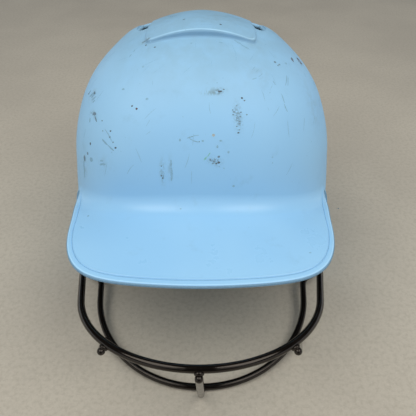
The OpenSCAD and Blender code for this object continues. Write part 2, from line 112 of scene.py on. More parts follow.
# points on the shell
def skin(th, v, off=0.0, fl=0.0, rise=0.0):
    th, v, off, fl, rise = np.broadcast_arrays(*[np.asarray(x, float) for x in (th, v, off, fl, rise)])
    al = 90 * np.clip(1 + v / form["domeArc"], 0, 1)
    q = 2 / form["domePower"]
    up = np.maximum(cosd(al), 0) ** q
    across = np.maximum(sind(al), 0) ** q
    domeR = planR(th, off - rise) * across + swell(th, v)
    domeZ = (form["crownH"] - off + rise) * up
    ph = flareAngle(th, fl)
    u = np.where(fl > 0, np.maximum(v - browLevel(th), 0), 0)
    turn = np.minimum(u / form["browCurve"], 1) * ph
    run = form["browCurve"] * 180 / np.pi / ph
    past = np.maximum(u - form["browCurve"], 0)
    out = run * (1 - cosd(turn)) + past * sind(ph)
    down = run * sind(turn) + past * cosd(ph)
    wallR = planR(th, off) + swell(th, v) + out + off * (1 - cosd(turn))
    wallZ = -(v - u) - down - off * sind(turn)
    r = np.where(v < 0, domeR, wallR)
    z = np.where(v < 0, domeZ, wallZ)
    return np.stack([r * sind(th), -r * cosd(th), z], -1)


def skinNormal(th, v):
    a = skin(th + 1, v) - skin(th - 1, v)
    b = skin(th, v - 1) - skin(th, v + 1)
    return unit(np.cross(a, b))


def seatTurn():
    c, s = math.cos(math.radians(form["lean"])), math.sin(math.radians(form["lean"]))
    return np.array([[1, 0, 0], [0, c, s], [0, -s, c]])


def seat(points):
    lifted = np.asarray(points, float) @ seatTurn().T
    lifted = lifted + [0, form["seatY"], form["tableDrop"] * math.cos(math.radians(form["lean"]))]
    return lifted / 1000


# raised crown panel, bill and lower edge
def panelR(th):
    front = cosd(th) > 0
    reach = np.where(front, form["panelFront"], form["panelBack"])
    n = np.where(front, form["panelSquare"], form["panelRound"])
    return ((np.abs(sind(th)) / form["panelHalfW"]) ** n + (np.abs(cosd(th)) / reach) ** n) ** (-1 / n)


def eased(u):
    return np.hypot(u, form["panelEase"]) - form["panelEase"]


def panelRise(th, r):
    tail = 1 - smooth((-r * cosd(th) - form["fadeFrom"]) / form["fadeRun"])
    fall = eased(np.minimum(np.abs(r * sind(th)) / form["panelHalfW"], 1)) / eased(1)
    return form["panelStep"] * tail * (1 - form["panelFall"] * fall)


def ventRise(th, r):
    across = (np.abs(r * sind(th)) - ventX - form["ribOff"]) / form["ribHalfW"]
    along = (-r * cosd(th) - form["ventY"]) / form["ribHalfL"]
    return form["ventLip"] * np.exp(-across ** 2 - along ** 2)


# length of surface from the crown's pole to the panel's edge
def panelEdgeArc(th):
    k = panelR(th) / planR(th)
    return np.degrees(np.arcsin(k ** (form["domePower"] / 2))) / 90 * form["domeArc"]


# how much of the panel's height is left, by the way past its edge
panelFace = {
    "past": (-1.6, -0.7, -0.3, 0.0, 0.6, 1.0, 1.6, 2.4, 3.8),
    "left": (1.0, 0.985, 0.94, 0.84, 0.34, 0.15, 0.05, 0.015, 0.0),
}


# rise over the plain dome at a length of surface from the pole
def crownRise(th, arc):
    r = planR(th) * sind(90 * arc / form["domeArc"]) ** (2 / form["domePower"])
    face = np.interp(arc - panelEdgeArc(th), panelFace["past"], panelFace["left"])
    return face * panelRise(th, r) + (1 - face) * ventRise(th, r)


def flare(th):
    return 1 - smooth((np.abs(th) - form["flareFrom"]) / (form["flareTo"] - form["flareFrom"]))


def billEdge(th):
    n = form["billSquare"]
    front = (form["browReach"] + form["billReach"]) * (1 - form["billBow"] * sind(th) ** 2)
    root = float(smooth((abs(th) - form["rootFrom"]) / form["rootRun"]))
    half = form["billW"] / 2 + form["billRoot"] * root
    reach = ((abs(sind(th)) / half) ** n + (abs(cosd(th)) / front) ** n) ** (-1 / n)
    ph = float(flareAngle(th, flare(th)))
    run = form["browCurve"] * 180 / math.pi / ph
    reach = max(float(reach - planR(th) - swell(th, form["billSwellAt"])), 0)
    turned = run * (1 - math.cos(math.radians(ph)))
    if reach < turned:
        past = math.degrees(math.acos(1 - reach / run)) / ph * form["browCurve"]
    else:
        past = form["browCurve"] + (reach - turned) / math.sin(math.radians(ph))
    return float(browLevel(th)) + past


def tableHeight(th, off=0.0):
    tuck = np.where(cosd(th) < 0, form["napeTuck"] * cosd(th) ** 2, 0)
    r = planR(th, off) + form["earSwell"] * sind(th) ** 4 - tuck
    return form["tableDrop"] + r * cosd(th) * math.tan(math.radians(form["lean"]))


def bezier(a, b, c, d, t):
    a, b, c, d = (np.asarray(x, float) for x in (a, b, c, d))
    return (1 - t) ** 3 * a + 3 * (1 - t) ** 2 * t * b + 3 * (1 - t) * t * t * c + t ** 3 * d


# handles of the curves along the lower edge, and how far its columns turn
edgeCurves = {
    "notchOut": (9, 1), "cheekIn": (6, -26), "cheekOut": (-2.5, 14), "toeIn": (-6.5, 1.4),
    "heelOut": 13, "napeIn": (-16, 4), "napeDip": 3, "notchTurn": 12, "toeTurn": 7,
}


# lower edge from the front to the back: angle, height, angle at the crown
def halfEdge(off, cols):
    bend, turn = edgeCurves, form["flapTurn"]
    cheekTurn = turn + bend["notchTurn"]
    soleTurn = cheekTurn + bend["toeTurn"]

    def onTable(th):
        return np.array([th, float(tableHeight(th, off))])

    notch = np.array([turn, billEdge(turn)])
    cheek = np.array([form["cheekAt"], form["cheekHeight"]])
    toe, heel = onTable(form["flapFront"]), onTable(form["flapBack"])
    heelOut = onTable(form["flapBack"] + bend["heelOut"])
    nape = np.array([form["napeAt"], form["napeDepth"] + bend["napeDip"]])
    rows = [(turn * t, billEdge(turn * t), turn * t) for t in np.linspace(0, 1, cols["bill"] + 1)]
    for t in steps(cols["notch"]):
        p = bezier(notch, notch + bend["notchOut"], cheek + bend["cheekIn"], cheek, t)
        rows.append((*p, turn + bend["notchTurn"] * t))
    for t in steps(cols["toe"]):
        p = bezier(cheek, cheek + bend["cheekOut"], toe + bend["toeIn"], toe, t)
        rows.append((*p, cheekTurn + bend["toeTurn"] * t))
    for t in steps(cols["sole"]):
        th = form["flapFront"] + (form["flapBack"] - form["flapFront"]) * t
        rows.append((*onTable(th), soleTurn + (form["flapBack"] - soleTurn) * t))
    for t in steps(cols["heel"]):
        p = bezier(heel, heelOut, nape + bend["napeIn"], nape, t)
        rows.append((*p, p[0]))
    for t in steps(cols["nape"]):
        th = form["napeAt"] + (180 - form["napeAt"]) * t
        rows.append((th, form["napeDepth"] + bend["napeDip"] * (1 - float(smooth(t))), th))
    return np.array(rows)


# mesh helpers
def linkPiece(name, mesh):
    piece = bpy.data.objects.new(name, mesh)
    bpy.context.scene.collection.objects.link(piece)
    return piece


# smooth shading, with edges over the angle kept sharp
def smoothAll(piece, sharp=None):
    piece.data.polygons.foreach_set("use_smooth", [True] * len(piece.data.polygons))
    if sharp:
        piece.data.set_sharp_from_angle(angle=math.radians(sharp))


def meshPiece(name, points, faces, material, slot=None):
    mesh = bpy.data.meshes.new(name)
    mesh.from_pydata(np.asarray(points, float).tolist(), [], [list(f) for f in faces])
    mesh.update()
    mesh.materials.append(material)
    piece = linkPiece(name, mesh)
    smoothAll(piece)
    return piece


# the piece stands for a CAD node and moves with the helmet
def standFor(piece, node):
    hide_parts(node)
    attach(piece, "root")
    return piece


def vertexRows(piece, what="co"):
    rows = np.empty(len(piece.data.vertices) * 3)
    piece.data.vertices.foreach_get(what, rows)
    return rows.reshape(-1, 3)


# quads of a grid kept column by column
def gridFaces(cols, rows, closed=False, start=0):
    faces = []
    for i in range(cols if closed else cols - 1):
        a = start + i * rows
        b = start + (i + 1) % cols * rows
        for j in range(rows - 1):
            faces.append((a + j, a + j + 1, b + j + 1, b + j))
    return faces


# one list of points and one of faces out of several pairs
def gather(pairs):
    faces, start = [], 0
    for points, sides in pairs:
        faces += [tuple(k + start for k in side) for side in sides]
        start += len(points)
    return np.concatenate([points for points, sides in pairs]), faces


# joins points that lie closer than the weld, and turns all faces outward
def faceOutward(piece, weld=0.0):
    made = bmesh.new()
    made.from_mesh(piece.data)
    if weld:
        bmesh.ops.remove_doubles(made, verts=made.verts, dist=weld)
    bmesh.ops.recalc_face_normals(made, faces=made.faces)
    made.to_mesh(piece.data)
    made.free()
    return piece


# puts what the modifiers make into the piece's own mesh
def applyModifiers(piece):
    graph = bpy.context.evaluated_depsgraph_get()
    made = bpy.data.meshes.new_from_object(piece.evaluated_get(graph))
    old = piece.data
    piece.modifiers.clear()
    piece.data = made
    bpy.data.meshes.remove(old)


# one smooth piece out of several, kept under the first one's name
def joinPieces(pieces, sharp=None):
    first = pieces[0]
    whole = bmesh.new()
    for piece in pieces:
        whole.from_mesh(piece.data)
    whole.to_mesh(first.data)
    whole.free()
    for piece in pieces[1:]:
        bpy.data.objects.remove(piece)
    smoothAll(first, sharp)
    return first


# points and faces of a round tube along a path
def tubePoints(path, radius, sides, closed=False, domed=False):
    path = np.asarray(path, float)
    along = unit(np.roll(path, -1, 0) - np.roll(path, 1, 0) if closed else np.gradient(path, axis=0))
    side = np.cross(along[0], [0.13, 0.31, 0.94])  # any direction off the path
    a = np.arange(sides) * 2 * math.pi / sides
    c, s = np.cos(a)[:, None], np.sin(a)[:, None]
    wide = np.broadcast_to(np.asarray(radius, float), (len(path),))
    rings = []
    for way in along:
        side = unit(side - way * (side @ way))
        rings.append(side * c + np.cross(way, side) * s)
    points = [p + ring * r for p, ring, r in zip(path, rings, wide)]
    # rounded ends, from the rim to the tip
    for t in np.linspace(0.18, math.pi / 2 - 0.05, 5) if domed else ():
        points.insert(0, path[0] + (rings[0] * math.cos(t) - along[0] * math.sin(t)) * wide[0])
        points.append(path[-1] + (rings[-1] * math.cos(t) + along[-1] * math.sin(t)) * wide[-1])
    total = len(points)
    faces = []
    for i in range(total if closed else total - 1):
        a, b = i * sides, (i + 1) % total * sides
        for j in range(sides):
            k = (j + 1) % sides
            faces.append((a + j, a + k, b + k, b + j))
    if not closed:
        faces.append(tuple(range(sides))[::-1])
        faces.append(tuple(range((total - 1) * sides, total * sides)))
    return np.concatenate(points), faces


# materials
# short ways to add nodes to a material or to the world
class Nodes:
    def __init__(self, tree, placeBy):
        self.tree = tree
        self.place = self.add("ShaderNodeTexCoord").outputs[placeBy]

    def feed(self, socket, value):
        if isinstance(value, bpy.types.NodeSocket):
            self.tree.links.new(value, socket)
        else:
            socket.default_value = value

    def add(self, kind, inputs=None, **settings):
        made = self.tree.nodes.new(kind)
        for key, value in settings.items():
            setattr(made, key, value)
        for name, value in (inputs or {}).items():
            self.feed(made.inputs[name], value)
        return made

    def noise(self, scale, detail=3.0, rough=0.55, stretch=None):
        place = self.place
        if stretch:
            place = self.add("ShaderNodeMapping", {"Vector": place, "Scale": stretch}).outputs["Vector"]
        inputs = {"Vector": place, "Scale": scale, "Detail": detail, "Roughness": rough}
        return self.add("ShaderNodeTexNoise", inputs).outputs["Fac"]

    def cells(self, scale):
        return self.add("ShaderNodeTexVoronoi", {"Vector": self.place, "Scale": scale}).outputs["Distance"]

    def ramp(self, value, low, high, outLow=0.0, outHigh=1.0):
        inputs = {"Value": value, "From Min": low, "From Max": high, "To Min": outLow, "To Max": outHigh}
        return self.add("ShaderNodeMapRange", inputs, interpolation_type="SMOOTHSTEP").outputs["Result"]

    def math(self, how, a, b=0.0):
        return self.add("ShaderNodeMath", {0: a, 1: b}, operation=how).outputs[0]

    def blend(self, share, a, b):
        inputs = {"Factor": share, "A": a, "B": b}
        return self.add("ShaderNodeMix", inputs, data_type="RGBA").outputs["Result"]

    # a colour with patches of another tone, where the noise passes from low to high
    def patches(self, colour, tone, most, low, high, scale, detail, rough):
        return self.blend(self.ramp(self.noise(scale, detail, rough), low, high, 0, most), colour, tone)

    def bump(self, height, depth, under=None):
        inputs = {"Strength": 1.0, "Distance": depth, "Height": height}
        if under:
            inputs["Normal"] = under
        return self.add("ShaderNodeBump", inputs).outputs["Normal"]

    def axis(self, name):
        return self.add("ShaderNodeSeparateXYZ", {"Vector": self.place}).outputs[name]


class Finish(Nodes):
    def __init__(self, name):
        self.material = bpy.data.materials.new(name)
        self.material.use_nodes = True
        super().__init__(self.material.node_tree, "Object")

    # red, green and blue of what is painted on the mesh
    def painted(self, name):
        colour = self.add("ShaderNodeVertexColor", layer_name=name).outputs["Color"]
        parts = self.add("ShaderNodeSeparateColor", {"Color": colour})
        return [parts.outputs[c] for c in ("Red", "Green", "Blue")]

    def finish(self, **sockets):
        shader = self.tree.nodes["Principled BSDF"]
        for name, value in sockets.items():
            self.feed(shader.inputs[name.replace("_", " ")], value)
        return self.material


# an sRGB colour from 0 to 255 as the shader wants it
def rgb(red, green, blue):
    linear = [((c / 255 + 0.055) / 1.055) ** 2.4 if c > 10 else c / 255 / 12.92 for c in (red, green, blue)]
    return (*linear, 1.0)


def shellPlastic():
    f = Finish("skyBluePlastic")
    specks, streaks, grime = f.painted("wear")
    edge, foot, sleek = f.painted("form")
    # slow drift of the moulded colour, and faint handling marks
    colour = f.blend(f.ramp(f.noise(9, 2), 0.35, 0.65), rgb(148, 200, 239), rgb(154, 204, 240))
    colour = f.patches(colour, rgb(128, 170, 200), 0.22, 0.58, 0.8, 70, 4, 0.6)
    colour = f.patches(colour, rgb(118, 148, 168), 0.25, 0.66, 0.74, 420, 4, 0.7)
    # blotchy greyer tone towards the top of the crown
    topGreying = f.ramp(f.noise(60, 5, 0.65), 0.2, 0.7, 0.2, 0.42)
    colour = f.blend(f.math("MULTIPLY", f.ramp(f.axis("Z"), 0.175, 0.222), topGreying), colour, rgb(122, 150, 158))
    # grime, scuffs and specks where the mesh is painted for them
    dust = f.math("MULTIPLY", grime, f.ramp(f.noise(160, 5, 0.65), 0.35, 0.7))
    colour = f.blend(f.math("MULTIPLY", dust, 0.62), colour, rgb(124, 146, 154))
    rubbed = f.math("MULTIPLY", streaks, f.ramp(f.noise(520, 5, 0.7, stretch=(1, 0.35, 0.35)), 0.43, 0.57))
    colour = f.blend(f.math("MULTIPLY", rubbed, 0.85), colour, rgb(108, 132, 134))
    dark = f.math("MULTIPLY", specks, f.ramp(f.noise(760, 4, 0.6), 0.5, 0.58))
    colour = f.blend(f.math("MULTIPLY", dark, 0.9), colour, rgb(66, 76, 84))
    # painted shade at the foot of the panel's step, and a painted highlight line along its upper edge
    colour = f.blend(f.math("MULTIPLY", foot, 0.6), colour, rgb(104, 148, 184))
    colour = f.blend(edge, colour, rgb(176, 222, 250))
    # the bill is smoother than the scuffed dome
    worn = f.math("MAXIMUM", dark, rubbed)
    gloss = f.math("ADD", f.ramp(f.noise(35, 5, 0.6), 0.3, 0.75, 0.5, 0.6), f.math("MULTIPLY", sleek, -0.23))
    gloss = f.math("ADD", gloss, f.math("MULTIPLY", worn, 0.15))
    skinBump = f.bump(f.noise(1400, 2, 0.5), 0.00002)
    skinBump = f.bump(f.noise(30, 2, 0.5), 0.00025, skinBump)
    skinBump = f.bump(worn, -0.00006, skinBump)
    return f.finish(Base_Color=colour, Roughness=gloss, Normal=skinBump, Specular_IOR_Level=0.5, IOR=1.5)


def coatedWire():
    f = Finish("blackCoatedWire")
    colour = f.blend(f.ramp(f.noise(90, 4), 0.4, 0.7), rgb(11, 8, 6), rgb(18, 14, 11))
    colour = f.patches(colour, rgb(60, 56, 51), 0.22, 0.6, 0.78, 260, 5, 0.65)
    gloss = f.ramp(f.noise(120, 4), 0.3, 0.75, 0.1, 0.18)
    drip = f.bump(f.noise(110, 3), 0.00007)
    drip = f.bump(f.noise(900, 2), 0.00001, drip)
    return f.finish(Base_Color=colour, Roughness=gloss, Normal=drip, Specular_Tint=(1.0, 0.9, 0.82, 1.0))


def bareSteel():
    f = Finish("zincSteel")
    colour = f.blend(f.noise(300, 4), rgb(150, 152, 156), rgb(186, 187, 190))
    colour = f.patches(colour, rgb(110, 100, 86), 0.5, 0.6, 0.75, 150, 5, 0.65)
    gloss = f.ramp(f.noise(500, 4, stretch=(1, 1, 6)), 0.3, 0.7, 0.28, 0.5)
    brushed = f.bump(f.noise(1500, 2, stretch=(1, 1, 8)), 0.00002)
    return f.finish(Base_Color=colour, Roughness=gloss, Normal=brushed, Metallic=1.0)


def clipNylon():
    f = Finish("blackNylon")
    colour = f.blend(f.noise(200, 3), rgb(24, 24, 26), rgb(38, 38, 40))
    colour = f.patches(colour, rgb(92, 90, 86), 0.4, 0.62, 0.72, 600, 4, 0.7)
    gloss = f.ramp(f.noise(240, 3), 0.3, 0.7, 0.42, 0.6)
    return f.finish(Base_Color=colour, Roughness=gloss, Normal=f.bump(f.noise(2200, 2), 0.00003))


def linerFoam():
    f = Finish("greyFoam")
    colour = f.blend(f.ramp(f.noise(40, 3), 0.35, 0.65), rgb(58, 60, 64), rgb(74, 76, 80))
    pores = f.cells(1300)
    colour = f.blend(f.ramp(pores, 0.0, 0.35, 0.4, 0.0), colour, rgb(26, 27, 29))
    gloss = f.ramp(f.noise(90, 2), 0.3, 0.7, 0.82, 0.95)
    foamBump = f.bump(f.noise(130, 3), 0.0003, f.bump(pores, 0.00012))
    return f.finish(Base_Color=colour, Roughness=gloss, Normal=foamBump, Specular_IOR_Level=0.25)


def padCloth():
    f = Finish("blackBrushedKnit")
    loops = f.cells(1050)
    colour = f.blend(f.ramp(f.noise(60, 4), 0.35, 0.7), rgb(30, 30, 33), rgb(47, 47, 51))
    colour = f.blend(f.ramp(loops, 0.15, 0.6, 0.0, 0.5), colour, rgb(14, 14, 16))
    colour = f.patches(colour, rgb(110, 108, 104), 0.35, 0.67, 0.75, 900, 4, 0.7)
    knit = f.bump(f.noise(170, 3), 0.00035, f.bump(loops, -0.00022))
    return f.finish(Base_Color=colour, Roughness=0.92, Normal=knit, Sheen_Weight=0.35,
                    Sheen_Roughness=0.5, Specular_IOR_Level=0.2)


def seamThread():
    f = Finish("greyThread")
    colour = f.blend(f.noise(900, 3), rgb(52, 52, 56), rgb(84, 84, 88))
    return f.finish(Base_Color=colour, Roughness=0.8, Normal=f.bump(f.noise(2600, 2), 0.00008))


def markPaint(name, colour, other):
    f = Finish(name)
    return f.finish(Base_Color=f.blend(f.ramp(f.noise(1300, 3), 0.35, 0.65), colour, other),
                    Roughness=0.75, Normal=f.bump(f.noise(2400, 3), 0.00004))


plastic = shellPlastic()
wireCoat = coatedWire()
steel = bareSteel()
nylon = clipNylon()
foam = linerFoam()
cloth = padCloth()
thread = seamThread()
print("stage: materials made")


# moulded shell
shellSet = {
    "cols": {"bill": 78, "notch": 26, "toe": 20, "sole": 34, "heel": 28, "nape": 34},
    "panelRows": 20, "domeRows": 46, "lowRows": 62,
    "innerRows": {"panel": 5, "dome": 14, "low": 24},
    # rows beside the panel's edge, and the gaps to the even rows around them
    "panelEdge": (-2.4, -1.5, -0.9, -0.5, -0.25, 0.0, 0.25, 0.5, 0.8, 1.2, 1.8, 2.8, 4.4),
    "beforeEdge": 4.2, "afterEdge": 7.4,
    # rows above the lower edge, close together at the groove
    "rimRows": (8.7, 7.9, 7.2, 6.7, 6.3, 6.0, 5.75, 5.5, 5.25, 5.0, 4.7, 4.2, 3.4, 2.5, 1.8),
    "rimStart": 9.7, "innerStart": 1.2, "edgeLean": 2.2, "rimRound": 1.4, "rimTurns": (8, 30, 50, 70, 88),
    "grooveIn": 5.5, "grooveDepth": 0.8, "grooveHalf": 0.45, "grooveTo": 62, "grooveFade": 6,
    "lipIn": 6.7, "lipRise": 0.2, "lipHalf": 0.7,
    "edgeRing": 1.6, "ringSides": 14, "slotPoints": 25, "slotDeep": 20,
    "screwHole": {"radius": 3.3, "points": 13}, "studHole": {"radius": 1.8, "points": 9}, "drillDeep": 9,
    "sharp": 42,
}


# lengths of surface from the pole to the brow, close together at the panel's edge
def crownArcs(th, panelRows, domeRows):
    edge = float(panelEdgeArc(th))
    inner = steps(panelRows) * (edge - shellSet["beforeEdge"])
    start = edge + shellSet["afterEdge"]
    outer = start + (form["domeArc"] - start) * np.linspace(0, 1, domeRows + 1)
    return np.concatenate([inner, edge + np.array(shellSet["panelEdge"]), outer])


def grooveSink(th, inset):
    near = 1 - smooth((np.abs(th) - shellSet["grooveTo"]) / shellSet["grooveFade"])
    side = (inset - shellSet["grooveIn"]) / shellSet["grooveHalf"]
    lip = (inset - shellSet["lipIn"]) / shellSet["lipHalf"]
    return near * (shellSet["grooveDepth"] * np.exp(-side ** 2) - shellSet["lipRise"] * np.exp(-lip ** 2))


# one row of points down the outside, around the lower edge and up the inside
def shellColumn(edge, innerEdge, turned):
    thEdge, vEdge, thCrown = edge
    fl = float(flare(thCrown)) if thCrown < form["flareTo"] else 0.0
    wall, rounded = form["wall"], shellSet["rimRound"]

    def leaned(v, reach):
        return thCrown + (thEdge - thCrown) * (np.asarray(v) / reach) ** shellSet["edgeLean"]

    def crownPoints(arcs, off):
        return skin(turned * thCrown, arcs - form["domeArc"], off, 0, crownRise(thCrown, arcs))

    def lowPoints(v, off, reach, sink=0.0):
        return skin(turned * leaned(v, reach), v, off + sink, fl)

    def rimPoint(inset, share, off):
        reach = vEdge + (innerEdge[1] - vEdge) * share
        return lowPoints([reach - inset], off, reach)

    body = steps(shellSet["lowRows"]) * (vEdge - shellSet["rimStart"])
    heights = np.concatenate([body, vEdge - np.array(shellSet["rimRows"])])
    corner = [(rounded * (1 - math.sin(a)), rounded * (1 - math.cos(a)))
              for a in np.radians(shellSet["rimTurns"])]
    inner = shellSet["innerRows"]
    innerLow = np.linspace(1, 0, inner["low"] + 1)[:-1] * (innerEdge[1] - shellSet["innerStart"])
    return np.concatenate([
        crownPoints(crownArcs(thCrown, shellSet["panelRows"], shellSet["domeRows"]), 0),
        lowPoints(heights, 0, vEdge, grooveSink(leaned(heights, vEdge), vEdge - heights)),
        *[rimPoint(inset, depth / wall, depth) for inset, depth in corner],
        *[rimPoint(inset, 1 - depth / wall, wall - depth) for inset, depth in reversed(corner)],
        lowPoints(innerLow, wall, innerEdge[1]),
        crownPoints(crownArcs(thCrown, inner["panel"], inner["dome"])[::-1], wall)])


def shellSurface():
    outerEdge = halfEdge(0, shellSet["cols"])
    innerEdge = halfEdge(form["wall"], shellSet["cols"])
    last = len(outerEdge) - 1
    columns = [shellColumn(outerEdge[i], innerEdge[i], 1) for i in range(last + 1)]
    columns += [shellColumn(outerEdge[i], innerEdge[i], -1) for i in range(last - 1, 0, -1)]
    count, rows = len(columns), len(columns[0])
    poles = [skin(0, -form["domeArc"], off, 0, form["panelStep"]) for off in (0, form["wall"])]
    faces = gridFaces(count, rows, closed=True)
    top = count * rows
    for i in range(count):
        a, b = i * rows, (i + 1) % count * rows
        faces.append((top, a, b))
        faces.append((top + 1, b + rows - 1, a + rows - 1))
    return np.concatenate([*columns, poles]), faces


# place on the skin with Z outward and X toward the back
def skinFrame(th, v):
    z = skinNormal(th, v)
    step = 1 if th > 0 else -1
    x = unit(skin(th + step, v) - skin(th - step, v))
    return skin(th, v), x, np.cross(z, x), z


def domeHeight(th, r):
    k = (r / planR(th)) ** (form["domePower"] / 2)
    return (np.degrees(np.arcsin(np.clip(k, 0, 1))) / 90 - 1) * form["domeArc"]


# point of the wall at a depth, over a point of the flat frame at that place
def onWall(place, across, along, off):
    p, x, y, z = place
    start = p + x * across + y * along
    lift = 0.0
    for _ in range(12):  # closes in on the wall from the flat frame
        here = start + z * lift
        th = math.degrees(math.atan2(here[0], -here[1]))
        if here[2] > 0:
            r = math.hypot(here[0], here[1])
            v = float(domeHeight(th, r + off * r / float(planR(th))))
            there = skin(th, v, off, 0, float(crownRise(th, form["domeArc"] + v)))
        else:
            there = skin(th, -here[2], off)
        lift += float((there - here) @ z) * 0.9
    return start + z * lift


# rounded slot, or a circle where the two halves are equal
def slotOutline(halfL, halfW, count):
    straight = halfL - halfW
    a = np.linspace(-90, 90, count)
    right = np.stack([straight + halfW * cosd(a), halfW * sind(a)], -1)
    left = np.stack([-straight - halfW * cosd(a), -halfW * sind(a)], -1)
    return np.concatenate([right, left]) if straight > 0 else np.concatenate([right[:-1], left[:-1]])


def cutter(place, outline, depth):
    p, x, y, z = place
    flat = [p + x * a + y * b for a, b in outline]
    points = [q + z * depth for q in flat] + [q - z * depth for q in flat]
    n = len(flat)
    faces = [tuple(range(n)), tuple(range(2 * n - 1, n - 1, -1))]
    faces += [(i, i + n, (i + 1) % n + n, (i + 1) % n) for i in range(n)]
    return seat(points), faces


def buildShell():
    points, faces = shellSurface()
    shell = faceOutward(meshPiece("helmetShell", seat(points), faces, plastic, "shell_blue"))
    ring = shellSet["edgeRing"]
    ventAt = math.degrees(math.atan2(ventX, -form["ventY"]))
    ventV = float(domeHeight(ventAt, math.hypot(ventX, form["ventY"])))
    slots = ((ventAt, ventV, form["ventL"] / 2, form["ventW"] / 2),
             (form["earAt"], form["earDepth"], form["earHoleR"], form["earHoleR"]))
    drilled = ((form["clipAt"], form["upperClip"], shellSet["screwHole"]),
               (form["clipAt"], form["lowerClip"], shellSet["screwHole"]),
               (form["studAt"], form["studDepth"], shellSet["studHole"]))
    cuts, rings = [], []
    for turned in (1, -1):
        # each slot is cut wider by the round ring that finishes its rim
        for th, v, halfL, halfW in slots:
            place = skinFrame(turned * th, v)
            outline = slotOutline(halfL + ring, halfW + ring, shellSet["slotPoints"])
            cuts.append(cutter(place, outline, shellSet["slotDeep"]))
            path = [onWall(place, a, b, form["wall"] / 2) for a, b in outline]
            rings.append(tubePoints(seat(path), ring / 1000, shellSet["ringSides"], closed=True))
        for th, v, hole in drilled:
            outline = slotOutline(hole["radius"], hole["radius"], hole["points"])
            cuts.append(cutter(skinFrame(turned * th, v), outline, shellSet["drillDeep"]))
    tool = faceOutward(meshPiece("shellCutter", *gather(cuts), plastic))
    cut = shell.modifiers.new("holes", "BOOLEAN")
    cut.object = tool
    cut.operation = "DIFFERENCE"
    cut.solver = "EXACT"
    applyModifiers(shell)
    bpy.data.objects.remove(tool)
    rims = [faceOutward(meshPiece("holeRing", *made, plastic)) for made in rings]
    return standFor(joinPieces([shell] + rims, shellSet["sharp"]), "shell")


shell = buildShell()
print("stage: shell,", len(shell.data.polygons), "faces")


# the photograph's camera, which also renders the scene, and the search for a place that it shows:
# angles and heights of the first grid, tries, most move in one try and the difference for a slope
view = {"camera": (0.0054, -0.3314, 0.3465), "tilt": 50.4, "lens": 41.54, "sensor": 36, "near": 0.01,
        "width": 416}
search = {"angles": (-100, 100.5, 0.5), "heights": (-166, 60, 0.8), "tries": 6, "most": (4, 6), "step": 0.1}


def onSkin(th, v, off=0.0):
    rise = np.where(v < 0, crownRise(th, form["domeArc"] + np.minimum(v, -1e-6)), 0)
    return skin(th, v, off, np.where(np.abs(th) < form["flareTo"], flare(th), 0), rise)


# pixels of the photograph's frame where points of the scene lie
def inPicture(points):
    way = points - np.array(view["camera"])
    c, s = cosd(view["tilt"]), sind(view["tilt"])
    across, up, depth = way[..., 0], way[..., 1] * c + way[..., 2] * s, way[..., 1] * s - way[..., 2] * c
    focal = view["lens"] / view["sensor"] * view["width"]
    return view["width"] / 2 + np.stack([across, -up], -1) * (focal / depth)[..., None]


# the shell's side that the photograph shows, as angles, heights and their pixels
def shownSide():
    th, v = np.meshgrid(np.arange(*search["angles"]), np.arange(*search["heights"]), indexing="ij")
    points = seat(onSkin(th, v))
    outward = np.cross(np.gradient(points, axis=1), np.gradient(points, axis=0))
    facing = (outward * (np.array(view["camera"]) - points)).sum(-1) > 0
    edge = [billEdge(min(abs(t), form["flapTurn"])) for t in th[:, 0]]
    shown = facing & (v < np.array(edge)[:, None])
    return np.stack([th, v], -1)[shown], inPicture(points)[shown]


shownAt, shownPixels = shownSide()


# angle and height on the skin of a place in the photograph
def fromPhoto(x, y):
    target = np.array([x, y], float)
    at = shownAt[np.argmin(np.linalg.norm(shownPixels - target, axis=1))]
    for _ in range(search["tries"]):
        here = inPicture(seat(onSkin(*at)))
        moved = [inPicture(seat(onSkin(*(at + way)))) - here for way in np.eye(2) * search["step"]]
        move = np.linalg.solve(np.stack(moved, 1) / search["step"], target - here)
        if (np.abs(move) > search["most"]).any():
            break
        at = at + move
    return at


def nearest(value, step):
    return round(float(value) / step) * step


# a row for the skin out of a stroke in the photograph: both ends and the width, in pixels
def strokeRow(x1, y1, x2, y2, wide):
    th, v = fromPhoto((x1 + x2) / 2, (y1 + y2) / 2)
    run = np.subtract(*(onSkin(*fromPhoto(x, y)) for x, y in ((x2, y2), (x1, y1))))
    out = np.array([y1 - y2, x2 - x1]) / math.hypot(x2 - x1, y2 - y1) * wide / 2
    middle = np.array([x1 + x2, y1 + y2]) / 2
    width = np.subtract(*(onSkin(*fromPhoto(*(middle + way))) for way in (out, -out)))
    level, rise = unit(skin(th + 0.5, v) - skin(th - 0.5, v)), unit(skin(th, v - 1) - skin(th, v + 1))
    turned = math.degrees(math.atan2(run @ rise, run @ level))
    halfL, halfW = nearest(np.linalg.norm(run) / 2, 0.1), nearest(np.linalg.norm(width) / 2, 0.1)
    return nearest(th, 0.5), nearest(v, 0.5), halfL, max(halfW, 0.3), nearest(turned, 5)


def dotRow(x, y, wide, high=None):
    return strokeRow(x - wide / 2, y, x + wide / 2, y, high or wide)
